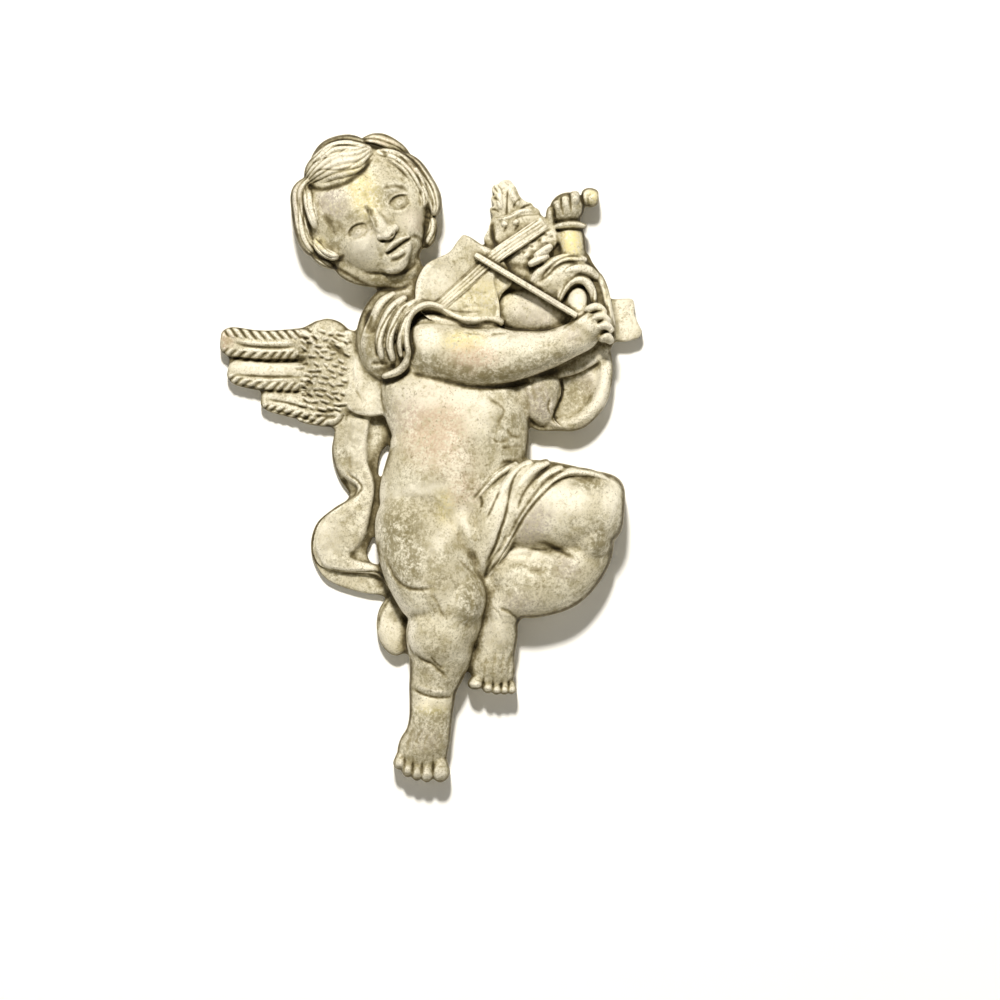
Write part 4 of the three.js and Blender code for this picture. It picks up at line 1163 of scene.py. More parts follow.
@dataclass(frozen=True)
class RaisedArm(Feature):
    """Raised forearm and hand that hold the violin's neck, with the scroll beyond."""

    finger_sink: float = 14.0

    def mass(self, clay: Clay) -> None:
        """Forearm, hand and scroll."""
        clay.swell([(126, 60, 15, 26, 24), (123, 92, 14, 26, 26), (121.5, 108, 14, 26, 24),
            (120, 118, 14, 26, 22), (118, 130, 17, 26, 22)], sides=22, rings=34)
        clay.dome(Dome(117, 141, 18, 16, 28, 24, 22))

    def detail(self, clay: Clay) -> None:
        """Fingers, cuff and scroll."""
        for finger in (
            [(101, 143, 4.4, 34, 12), (100, 132, 4.2, 34, 12), (102, 121, 3.6, 32, 10)],
            [(107, 149, 4.8, 38, 13), (108, 138, 4.4, 40, 13)],
            [(115, 153, 5, 38, 14), (116, 141, 4.4, 40, 14)],
            [(124, 158, 5.6, 38, 14), (125, 144, 4.6, 40, 14)],
        ):
            clay.swell(finger, sides=14, rings=22, sink=self.finger_sink)
        clay.swell([(103, 122, 3, 34, 17), (120, 125, 4, 36, 18), (137, 123, 3, 34, 17)], sides=14, rings=30,
            sink=20)
        clay.swell([(131, 152, 7, 24, 16), (138, 152, 9.6, 24, 18), (148.5, 151.5, 8.6, 24, 15)], sides=20,
            rings=26, blunt=4)

    def carve(self, chisel: Chisel) -> None:
        """Cuts between the fingers, cuff line and curl of the scroll."""
        for line in (
            [(105, 150), (104, 141), (105, 130)],
            [(111, 154), (111, 144), (113, 134)],
            [(119.5, 158), (120, 147), (121, 137)],
            [(131, 160), (132, 152), (133, 142), (132, 132)],
        ):
            chisel.groove(line, 1.4, 2.2, 0.8)
        chisel.grooves(
            ([(103, 127), (112, 128), (124, 128.5), (136, 127)], 2.0, 1.8, 0.6),
            ([(104, 118), (114, 119.5), (126, 119.5), (136, 118)], 1.6, 1.6, 0.6),
            ([(141, 141), (138, 146), (138, 152), (142, 157)], 1.4, 1.4, 0.55),
        )
        chisel.bump(102, 136, 6, 12, -0.6, wash_and_shade=0.5)
        chisel.groove([(106, 116), (108, 106), (110, 96)], 2.4, 1.0, 0.5)
        chisel.groove([(134, 118), (134, 106), (133, 96)], 1.6, 0.8, 0.35)


@dataclass(frozen=True)
class RaisedSleeve(Feature):
    """Sleeve that falls from the raised forearm in curved folds, with fingers round the violin."""

    fold_depth: float = 2.6

    def mass(self, clay: Clay) -> None:
        """Cloth under the folds."""
        clay.slab([(96, 96), (137, 96), (142, 87), (150, 76), (156, 60), (160, 48), (165, 22), (160, 0),
            (120, -26), (60, -20), (46, 20), (56, 62), (84, 80)], 38)
        clay.dome(Dome(106, 73, 34, 22, 36, 24, 16))
        clay.dome(Dome(84, 40, 42, 24, 34, 19))
        clay.dome(Dome(128, 44, 13, 18, 40, 17))

    def detail(self, clay: Clay) -> None:
        """Curved folds and the fingers that wrap the violin's edge."""
        for fold in (
            [(80, 66, 4, 46, 11), (92, 80, 6, 47, 13), (106, 87, 6, 47, 13), (121, 91, 5.5, 45, 12),
             (137, 89, 4, 40, 10)],
            [(92, 60, 4, 46, 11), (104, 73, 6, 48, 12), (119, 80, 6, 48, 12), (136, 79, 6, 44, 11),
             (150, 70, 4, 36, 9)],
            [(107, 44, 3.4, 46, 11), (112, 58, 4.4, 48, 12), (123, 69, 4.6, 49, 12), (134, 69, 4.6, 48, 11),
             (142, 57, 4.2, 46, 11), (143, 40, 3.4, 46, 11)],
            [(148, 76, 4, 32, 12), (154, 60, 4.2, 33, 12), (158, 40, 4.2, 33, 12), (160, 20, 4, 33, 12)],
            [(84, 92, 3.4, 58, 12), (94, 98, 4.2, 58, 13), (102, 104, 3.6, 54, 11)],
            [(78, 84, 3.4, 58, 11), (88, 89, 4.0, 57, 13), (99, 94, 3.6, 53, 11)],
        ):
            clay.swell(fold, sides=14, rings=36, sink=20, blunt=4)

    def carve(self, chisel: Chisel) -> None:
        """Lines between the folds and the shaded recess inside the arch."""
        for line in (
            [(90, 70), (100, 82), (110, 90), (120, 93), (132, 92.5)],
            [(88, 67), (98, 74), (106, 82), (116, 87), (128, 86)],
            [(108, 48), (114, 62), (121, 70), (130, 74), (139, 70), (143, 60), (142, 46)],
            [(112, 44), (118, 56), (126, 63), (134, 61), (138, 52), (138, 42)],
        ):
            chisel.groove(line, 1.9, self.fold_depth, 0.85, taper=0.1)
        chisel.grooves(
            ([(112, 76), (118, 82), (128, 86)], 1.5, 1.4, 0.7),
            ([(146, 74), (142, 82), (136, 86)], 2.2, 1.4, 0.7),
            ([(80, 80), (88, 84), (94, 86)], 2.4, 2.4, 0.95),
            ([(92, 94), (97, 98), (104, 102)], 1.8, 2.0, 0.85),
            ([(112, 44), (116, 55), (122, 62), (129, 64), (136, 60), (141, 50), (142, 42)], 2.4, 2.2, 0.9),
        )
        for line in ([(60, 52), (72, 42), (84, 30)], [(74, 54), (86, 42), (96, 28)], [(90, 50), (100, 38)]):
            chisel.groove(line, 3.6, 0.9, 0.35)
        chisel.groove([(152, 70), (156, 56), (158, 42), (160, 30)], 2.0, 1.6, 0.5)
        for x in (84, 92, 100):
            chisel.groove([(x, 26), (x + 4, 36), (x + 2, 48)], 3.0, 0.7, 0.25)


@dataclass(frozen=True)
class RibbonEnd(Feature):
    """Flat forked end of the ribbon at the right."""

    depth: float = 24.0
    outline: tuple[Point, ...] = ((150, 52), (160, 50.5), (183, 51.5), (184.5, 44), (184, 36), (188, 26),
                                  (192.5, 18), (190, 12), (176, 8), (163, 8), (150, 14))

    def mass(self, clay: Clay) -> None:
        """Flat sheet."""
        clay.slab(self.outline, self.depth - 1.5, smooth=False, edge=1.4)

    def carve(self, chisel: Chisel) -> None:
        """Rim at its free edge."""
        chisel.groove([(181, 48), (180, 40), (183, 30), (187, 22)], 2.4, 1.6, 0.25)
        chisel.bump(173, 12, 3, 2, -0.8, wash_and_shade=0.35)


@dataclass(frozen=True)
class ClothLoop(Feature):
    """Loop of cloth that hangs below the bow hand, with a soft rim and a ragged inner edge."""

    rim_half_width: float = 7.5
    edge_height: float = 3.2

    def mass(self, clay: Clay) -> None:
        """Sheet of the loop, its broad rim and the cloth beside the body."""
        clay.slab([(60, -24), (110, -8), (158, 2), (162, -20), (160, -41), (155, -55), (147, -66), (137, -76),
            (125, -81), (105, -81), (84, -79), (70, -60)], 28)
        half = self.rim_half_width
        clay.swell([(102, -73, half - 1, 24, 13), (120, -74, half, 26, 13), (136, -66, half + 0.5, 26, 14),
            (149, -50, half + 0.5, 26, 14), (155, -28, half, 26, 13), (156, -4, half, 26, 12)], sides=20,
            rings=50, blunt=5)
        clay.swell([(82, -14, 24, 26, 20), (86, -36, 25, 28, 24), (90, -56, 20, 26, 22),
            (96, -76, 12, 24, 15)], sides=26, rings=40)

    def carve(self, chisel: Chisel) -> None:
        """Ragged edge, soft folds and the shade under the arm."""
        chisel.lip([(112, -78), (105, -71), (103, -65), (106, -57), (110, -47), (111, -38), (108, -28)],
            self.edge_height, 5.0, 0.9)
        chisel.groove([(108, -26), (112, -36), (112, -45), (107, -55), (104, -63), (103, -70), (110, -77)],
            1.9, 2.6, 0.95)
        chisel.groove([(100, -48), (98, -58), (101, -66)], 1.8, 1.8, 0.75)
        for x, z in ((108, -50), (104, -60), (106, -68), (113, -40), (111, -30)):
            chisel.bump(x, z, 3.0, 2.4, -1.4, wash_and_shade=0.8)
        for x in (74, 82, 91):
            chisel.groove([(x - 2, -30), (x + 2, -44), (x + 4, -60)], 3.4, 1.2, 0.35)
        chisel.groove([(112, -73), (124, -76), (136, -71), (147, -59)], 2.6, 1.0, 0.2)
        chisel.groove([(78, -66), (82, -72), (88, -76), (98, -78)], 2.6, 1.4, 0.5)
        chisel.bump(130, -42, 17, 24, -4.0, wash_and_shade=0.12)
        chisel.bump(128, -18, 30, 10, -1.0, 20, wash_and_shade=0.8)
        chisel.bump(100, -24, 28, 8, -0.8, 12, wash_and_shade=0.85)
        chisel.bump(80, -34, 18, 5, -0.8, 10, wash_and_shade=0.8)


@dataclass(frozen=True)
class WindingRibbon(Feature):
    """Ribbon that winds down behind the left side of the figure, its outer lip raised."""

    front: float = 10.5 / (1000 * RELIEF_DEPTH) * DEPTH_STEPS
    base: float = 5.0 / (1000 * RELIEF_DEPTH) * DEPTH_STEPS
    lip_height: float = 3.0

    def mass(self, clay: Clay) -> None:
        """Thin base and the bands of the ribbon."""
        clay.slab([(-60, -62), (-85, -60), (-97, -61), (-106, -71), (-117, -91), (-118, -104), (-115, -117),
            (-109, -131), (-100, -146), (-120, -161), (-133, -173), (-139, -192), (-137, -208), (-126, -227),
            (-110, -236), (-86, -243), (-62, -248), (-68, -262), (-73, -276), (-70, -290), (-60, -297),
            (-42, -303), (-34, -280), (-42, -252), (-58, -234), (-68, -219), (-79, -213), (-83, -202),
            (-78, -189), (-72, -165), (-70, -142), (-72, -120), (-68, -101), (-60, -93), (-52, -86)],
            self.base, edge=1.0)
        mid, rise = 0.45 * self.front, 0.55 * self.front
        for band in (
            [(-86, -58, 14), (-96, -76, 17), (-100, -96, 17), (-97, -114, 16), (-84, -134, 9),
             (-86, -150, 10), (-102, -174, 22), (-115, -196, 22), (-116, -219, 12)],
            [(-128, -208, 8), (-112, -213, 9), (-90, -217, 6), (-70, -221, 5), (-58, -234, 5),
             (-50, -248, 5)],
            [(-52, -244, 7), (-59, -264, 13), (-56, -284, 16), (-44, -301, 14)],
        ):
            clay.swell([(x, z, half, mid, rise) for x, z, half in band], sides=26, rings=70, squareness=0.6,
                blunt=5)

    def carve(self, chisel: Chisel) -> None:
        """Raised lips, hollows and the dark edges of the ribbon."""
        chisel.lip([(-100, -150), (-112, -158), (-124, -166), (-132, -176), (-136, -190), (-136, -204),
            (-130, -215), (-120, -219)], self.lip_height, 4.0, 0.3)
        chisel.groove([(-98, -149), (-92, -144), (-88, -138), (-92, -131), (-100, -125), (-104, -119)], 1.6,
            2.0, 0.75)
        chisel.groove([(-108, -128), (-104, -137), (-100, -145)], 4.0, 4.0, 0.4)
        chisel.bump(-94, -86, 14, 22, -2.4, 10, wash_and_shade=0.12)
        chisel.bump(-88, -66, 16, 7, -1.6, wash_and_shade=0.6)
        chisel.bump(-112, -192, 16, 20, -2.6, -20)
        chisel.grooves(
            ([(-120, -219), (-106, -222), (-88, -222), (-72, -222.5), (-64, -228),
             (-57, -237)], 1.8, 2.6, 0.7, 0.06),
            ([(-96, -163), (-104, -172), (-112, -176)], 5.0, 1.2, 0.35),
            ([(-60, -248), (-66, -258), (-70, -268), (-71, -280)], 1.8, 1.0, 0.8),
        )
        chisel.bump(-58, -268, 10, 12, -2.0, wash_and_shade=0.35)
        chisel.groove([(-99, -103), (-100, -112), (-98, -120)], 1.4, 1.0, 0.55)
        chisel.stroke([(-106, -72), (-100, -62), (-86, -59.5), (-72, -62)], 2.6, 0.85)
        chisel.stroke([(-62, -84), (-70, -98), (-77, -112), (-76, -124)], 4.5, 0.75)
        chisel.stroke([(-80, -186), (-86, -196), (-84, -206)], 4.0, 0.6)


FEATHERS = (
    ([(-229.5, 9, 12), (-218, 8, 15), (-190, 5, 14.5), (-150, 6, 15), (-105, 8, 14)], 1.0),
    ([(-222, -20, 9), (-212, -22, 13.5), (-190, -26, 14.5), (-150, -27, 15), (-100, -26, 14)], 0.9),
    ([(-189, -50, 8), (-178, -51, 11.5), (-150, -56, 13.5), (-120, -62, 14), (-96, -60, 12)], 0.82),
    ([(-152, -67, 5), (-136, -68, 7.5), (-104, -70, 9)], 0.7),
)


@dataclass(frozen=True)
class Wing(Feature):
    """Single wing: three long flight feathers and a short one under a bank of small coverts."""

    front: float = 12.0 / (1000 * RELIEF_DEPTH) * DEPTH_STEPS
    covert_spacing: float = 9.5
    covert_rise: float = 6.4
    covert_length: float = 5.0
    covert_width: float = 1.5
    covert_height: float = 2.4
    quill_depth: float = 2.6
    barb_spacing: float = 9.2

    def mass(self, clay: Clay) -> None:
        """Ground, bank of coverts and the root plate."""
        clay.slab([(-92, 18), (-115, 24), (-132, 30), (-147, 22), (-180, 19), (-208, 21), (-223, 23),
            (-229, 12), (-227, 0), (-220, -9), (-222, -18), (-216, -30), (-205, -34), (-190, -38),
            (-188, -48), (-184, -57), (-170, -62), (-150, -69), (-130, -75), (-112, -79), (-96, -62),
            (-86, -30)], 0.5 * self.front, smooth=False, edge=1.0)
        clay.swell([(-133, 28, 12, 12, 12), (-124, 12, 24, 12, 18), (-118, -14, 27, 12, 19),
            (-115, -42, 27, 12, 18), (-109, -76, 20, 12, 12)], sides=26, rings=40, blunt=5)
        clay.slab([(-106, 18), (-92, 16), (-80, -6), (-62, -30), (-60, -62), (-100, -61), (-106, -30)], 31)

    def detail(self, clay: Clay) -> None:
        """Flight feathers."""
        for line, lift in FEATHERS:
            front = self.front * lift
            clay.swell([(x, z, half, 0.4 * front, 0.6 * front) for x, z, half in line], sides=24, rings=80,
                squareness=0.7, blunt=5, sink=0.3 * front)

    def carve(self, chisel: Chisel) -> None:
        """Quills, barbs and coverts."""
        first, second, third, fourth = (line for line, _ in FEATHERS)
        chisel.barbs([(x, z - 1.5, half + 1) for x, z, half in first[:4]], self.barb_spacing, 0.85, 2.6, [1],
            wash_and_shade=0.8, inner=0.36)
        chisel.barbs([(x, z - 1.5, half) for x, z, half in first[:4]], self.barb_spacing, 0.85, 1.7, [-1],
            wash_and_shade=0.8, inner=0.34)
        chisel.barbs(second[:4], self.barb_spacing * 0.95, 0.9, 1.7, [-1], wash_and_shade=0.7, inner=0.34)
        chisel.barbs(third[:4], self.barb_spacing * 0.95, 0.9, 1.7, [-1], wash_and_shade=0.8, inner=0.38)
        chisel.grooves(
            ([(-217, 7), (-204, 4), (-190, 2.5), (-170, 2.2), (-152, 3)], 1.5, self.quill_depth, 1.0),
            ([(-215, -25), (-200, -26), (-180, -27), (-165, -27), (-148, -27)], 1.5, self.quill_depth, 0.85),
            ([(-182, -50), (-168, -52), (-155, -55), (-141, -60)], 1.5, self.quill_depth, 0.8),
        )
        chisel.ridge([(-216, 0), (-190, -1.5), (-155, -1)], 1.6, 1.4)
        chisel.ridge([(-215, 9.5), (-190, 6.5), (-155, 7)], 1.6, 1.4)
        chisel.ridge([(-212, -30), (-190, -30.5), (-160, -30)], 1.4, 1.2)
        for line in (
            [(-222, -6), (-210, -9.5), (-190, -11.5), (-170, -12.5), (-145, -11)],
            [(-214, -33), (-200, -37), (-188, -40), (-170, -42), (-148, -42)],
            [(-186, -58), (-170, -61.5), (-150, -67), (-132, -72)],
            [(-138, -64), (-125, -66.5), (-112, -67)],
            [(-136, -60), (-122, -62), (-112, -60)],
        ):
            chisel.groove(line, 1.8, 2.0, 0.7)
        for x, z, size, turn in self.coverts():
            across, along = (math.cos(turn) * self.covert_length * size,
                             math.sin(turn) * self.covert_length * size)
            chisel.ridge([(x - across, z - along), (x + across, z + along)], self.covert_width,
                self.covert_height)
            chisel.groove([(x - across, z - along - 2.6), (x + across, z + along - 2.6)], 1.3, 1.6, 0.75,
                taper=0.3)
        chisel.grooves(
            ([(-124, 8), (-112, 0), (-99, -8.5)], 3.4, 2.4, 0.8),
            ([(-120, 14), (-108, 8), (-96, 7)], 1.6, 1.6, 0.6),
            ([(-96, -8), (-98, -20), (-96, -34), (-98, -44)], 2.2, 1.8, 0.4),
        )
        chisel.ridge([(-92, -2), (-95, -18), (-93, -32)], 3.0, 2.4)
        chisel.groove([(-96, -38), (-90, -46), (-86, -56)], 2.0, 1.2, 0.5)
        chisel.bump(-222, 8, 6, 9, 0, wash_and_shade=0.35)
        chisel.bump(-180, 14, 36, 4, 0, -4, wash_and_shade=0.35)
        chisel.bump(-185, -6, 38, 4, 0, wash_and_shade=0.55)
        chisel.bump(-180, -36, 34, 4, 0, wash_and_shade=0.35)
        chisel.bump(-155, -65, 24, 4, 0, -15, wash_and_shade=0.35)

    def coverts(self) -> list[tuple[float, float, float, float]]:
        """Lays the small coverts in loose uneven rows.

        Returns:
            (x, z, size, turn) of each.
        """
        chance = np.random.default_rng(11)
        spots = []
        for row in range(15):
            z = 21.0 - self.covert_rise * row
            for column in range(6):
                x = -148.0 + self.covert_spacing * (column + 0.5 * (row % 2)) + chance.uniform(-2.5, 2.5)
                height = z - 0.12 * (x + 148) + chance.uniform(-1.6, 1.6)
                if -72 + 0.3 * (x + 148) < height and x < -100 + 0.1 * height:
                    spots.append((x, height, chance.uniform(0.6, 1.15), math.radians(chance.uniform(-38, 8))))
        return spots


@dataclass(frozen=True)
class Backing(Feature):
    """Sheet of the casting behind the figure, that closes the gaps between its limbs."""

    depth: float = 23.0

    def mass(self, clay: Clay) -> None:
        """Flat sheet."""
        clay.slab([(-86, 24), (-60, 56), (-34, 72), (-20, 82), (30, 96), (60, 120), (100, 116), (104, 90),
            (134, 86), (150, 60), (156, 10), (112, -30), (76, -50), (76, -112), (140, -128), (160, -145),
            (158, -190), (150, -220), (124, -248), (66, -270), (56, -318), (28, -316), (24, -282),
            (-30, -282), (-38, -240), (-64, -180), (-64, -130), (-46, -90), (-60, -40), (-82, 0)], self.depth,
            smooth=False, edge=0.0)


class Tint(Enum):
    """Colours laid on the paint in patches: real tints and patina, with painted shade in some olive patches
    and painted highlight in the pale worn ones.
    """

    ROSE = "rose"
    YELLOW = "yellow"
    OLIVE = "olive"
    LILAC = "lilac"
    WEAR_AND_HIGHLIGHT = "wear_and_highlight"


@dataclass(frozen=True)
class TintPatch:
    """A soft patch of a tint on the plan."""

    x: float
    z: float
    wide: float
    high: float
    turn: float = 0.0
    strength: float = 1.0

    def amount(self, plan: np.ndarray) -> np.ndarray:
        """Strength of the patch over places of the plan."""
        angle = math.radians(self.turn)
        dx, dz = (plan - (self.x, self.z)).T
        u = (dx * math.cos(angle) + dz * math.sin(angle)) / self.wide
        v = (-dx * math.sin(angle) + dz * math.cos(angle)) / self.high
        return self.strength * np.exp(-TINT_PATCH_FALLOFF * (u * u + v * v) ** 2.0)


TINT_PATCHES = {
    Tint.ROSE: [
        TintPatch(-14, -78, 34, 42, 0, 0.9), TintPatch(24, -8, 26, 18, 0, 0.9), TintPatch(4, -112, 26, 22, 0, 0.4),
        TintPatch(-34, 128, 12, 10, 0, 0.6), TintPatch(-66, 206, 18, 8, 0, 0.45), TintPatch(-36, 184, 9, 7, 0, 0.7),
        TintPatch(14, -140, 16, 20, 0, 0.6), TintPatch(-224, 10, 8, 10, 0, 0.8),
    ],
    Tint.YELLOW: [
        TintPatch(-86, 156, 16, 28, 20, 0.9), TintPatch(14, 8, 22, 10, 0, 0.9), TintPatch(120, 106, 12, 16, 0, 1.0),
        TintPatch(36, 52, 34, 18, 0, 0.5), TintPatch(-18, -356, 16, 8, 0, 0.9), TintPatch(-130, 106, 7, 7, 0, 0.7),
        TintPatch(144, 152, 9, 9, 0, 0.7), TintPatch(108, 156, 10, 8, 0, 0.5), TintPatch(155, 44, 8, 16, 0, 0.4),
        TintPatch(-4, -158, 10, 18, 0, 0.5),
    ],
    # Olive patches: partly olive patina, partly painted shade on the undersides of the bow arm and the legs,
    # under the chin and on the cloth under the arm.
    Tint.OLIVE: [
        TintPatch(-48, -178, 26, 30, 10, 1.0), TintPatch(-44, -212, 30, 26, 35, 0.95),
        TintPatch(-8, -216, 22, 22, 0, 0.5), TintPatch(22, -250, 14, 34, -8, 1.0), TintPatch(-14, -372, 22, 18, 0, 0.8),
        TintPatch(-20, -398, 22, 16, 0, 0.55), TintPatch(110, 136, 12, 14, 0, 0.8), TintPatch(148, -194, 10, 26, 12, 0.9),
        TintPatch(138, -133, 20, 8, -5, 0.9), TintPatch(60, 172, 6, 6, 0, 0.3), TintPatch(-24, -14, 34, 12, -5, 0.75),
        TintPatch(-56, 70, 22, 9, 5, 1.0), TintPatch(-66, 150, 18, 12, -20, 0.55), TintPatch(-100, 136, 16, 7, 25, 0.4),
        TintPatch(60, -104, 14, 12, 0, 0.6), TintPatch(-20, -318, 22, 16, -10, 0.5), TintPatch(150, 8, 14, 8, 10, 0.6),
        TintPatch(-80, 18, 10, 26, 0, 0.6), TintPatch(20, -24, 66, 9, -4, 0.95), TintPatch(90, -12, 40, 9, 14, 0.8),
        TintPatch(-84, 124, 46, 50, 0, 0.32), TintPatch(-22, -392, 30, 44, 0, 0.62), TintPatch(44, -300, 26, 44, 0, 0.4),
        TintPatch(-12, -318, 34, 34, 0, 0.5), TintPatch(92, -232, 50, 26, 10, 0.45), TintPatch(58, -78, 18, 24, 0, 0.7),
        TintPatch(40, -96, 26, 14, 0, 0.5), TintPatch(-66, -60, 10, 40, 0, 0.6), TintPatch(-40, -132, 30, 12, 0, 0.4),
        TintPatch(-100, -96, 14, 34, 0, 0.6), TintPatch(-112, -204, 20, 22, 0, 0.4), TintPatch(-128, -20, 34, 34, 0, 0.5),
        TintPatch(70, 40, 44, 26, 0, 0.4), TintPatch(106, -44, 36, 26, 0, 0.5), TintPatch(-84, 4, 9, 20, 0, 0.7),
        TintPatch(120, 142, 20, 18, 0, 0.6),
    ],
    # Pale worn patches: partly worn paint, partly painted highlight where the light falls on the thighs,
    # feet, arm, cheek, leaf and feathers.
    Tint.WEAR_AND_HIGHLIGHT: [
        TintPatch(172, 30, 18, 26, 0, 0.95), TintPatch(84, 44, 30, 16, 0, 0.75), TintPatch(128, 46, 9, 13, 0, 1.0),
        TintPatch(-22, 12, 14, 14, 0, 1.0), TintPatch(70, 10, 40, 5, 5, 0.5), TintPatch(-84, 102, 17, 14, 30, 0.85),
        TintPatch(-40, 128, 14, 10, 30, 0.5), TintPatch(-62, 128, 6, 12, 33, 0.5), TintPatch(-108, 190, 22, 9, 20, 0.85),
        TintPatch(-20, -44, 40, 14, -6, 0.7), TintPatch(30, -66, 16, 24, 0, 0.6), TintPatch(-34, -140, 30, 6, 8, 0.8),
        TintPatch(0, -178, 8, 36, -38, 0.75), TintPatch(116, -150, 22, 16, 0, 0.9), TintPatch(160, -146, 10, 18, 0, 0.7),
        TintPatch(72, -205, 26, 6, 0, 0.8), TintPatch(-8, 64, 18, 22, 20, 0.55), TintPatch(54, 158, 8, 14, 0, 0.95),
        TintPatch(78, 104, 18, 12, 0, 0.5), TintPatch(-94, -92, 10, 24, 0, 0.8), TintPatch(-120, -190, 14, 22, 0, 0.6),
        TintPatch(-182, -17, 34, 6, 0, 0.95), TintPatch(-93, -22, 6, 18, 0, 1.0), TintPatch(-78, -52, 14, 16, 0, 0.8),
        TintPatch(154, -46, 8, 26, 20, 0.8), TintPatch(-18, -352, 18, 6, 0, 0.9), TintPatch(46, -282, 12, 16, 0, 0.7),
        TintPatch(60, -140, 14, 30, -30, 0.5), TintPatch(-62, -280, 12, 14, 0, 0.7), TintPatch(22, 26, 40, 4, -5, 0.4),
    ],
    Tint.LILAC: [
        TintPatch(-116, 146, 16, 16, 0, 0.9), TintPatch(-84, 108, 14, 14, 0, 0.45), TintPatch(88, 38, 26, 18, 0, 1.0),
        TintPatch(90, -52, 14, 22, 20, 1.0), TintPatch(84, -176, 16, 26, -35, 0.8), TintPatch(116, -218, 14, 12, 0, 0.7),
        TintPatch(70, -252, 18, 12, 0, 0.6), TintPatch(-46, -60, 20, 24, 0, 0.5), TintPatch(140, -34, 10, 14, 0, 0.6),
        TintPatch(122, 14, 10, 10, 0, 0.5), TintPatch(-24, -390, 18, 14, 0, 0.5), TintPatch(-152, 148, 6, 24, 0, 0.5),
    ],
}


class HeightMap:
    """Depth of the front over the plan, used to find hollows and edges."""

    def __init__(self, chisel: Chisel, depths: np.ndarray) -> None:
        """Rasters the highest front depth of each cell.

        Args:
            chisel: holds the plan places and facings of the points.
            depths: depth of each point in steps.
        """
        self.low = np.array([-240.0, -445.0])
        self.shape = (440, 675)
        self.depth = np.zeros(self.shape)
        cells = np.clip((chisel.plan - self.low).astype(int), 0, np.array(self.shape) - 1)
        seen = chisel.front > FRONT_FACING
        np.maximum.at(self.depth, (cells[seen, 0], cells[seen, 1]), depths[seen])
        self.cover = (self.depth > 0).astype(float)

    def blurred(self, radius: float) -> np.ndarray:
        """Blurs the depths over the covered cells only.

        Args:
            radius: radius of the blur in squares.

        Returns:
            The blurred depth of every cell.
        """
        reach = int(3 * radius)
        kernel = np.exp(-0.5 * (np.arange(-reach, reach + 1) / radius) ** 2)
        kernel /= kernel.sum()

        def spread(values: np.ndarray) -> np.ndarray:
            """Blurs along both directions."""
            for axis in (0, 1):
                values = np.apply_along_axis(lambda row: np.convolve(row, kernel, "same"), axis, values)
            return values

        return spread(self.depth * self.cover) / np.maximum(spread(self.cover), 1e-3)

    def sample(self, values: np.ndarray, plan: np.ndarray) -> np.ndarray:
        """Reads a map between its cells.

        Args:
            values: one value for each cell.
            plan: places on the plan, one per row.

        Returns:
            The value at each place.
        """
        place = plan - self.low - 0.5
        cell = np.clip(np.floor(place).astype(int), 0, np.array(self.shape) - 2)
        u, v = np.clip(place - cell, 0, 1).T
        i, k = cell.T
        return ((values[i, k] * (1 - u) + values[i + 1, k] * u) * (1 - v)
                + (values[i, k + 1] * (1 - u) + values[i + 1, k + 1] * u) * v)


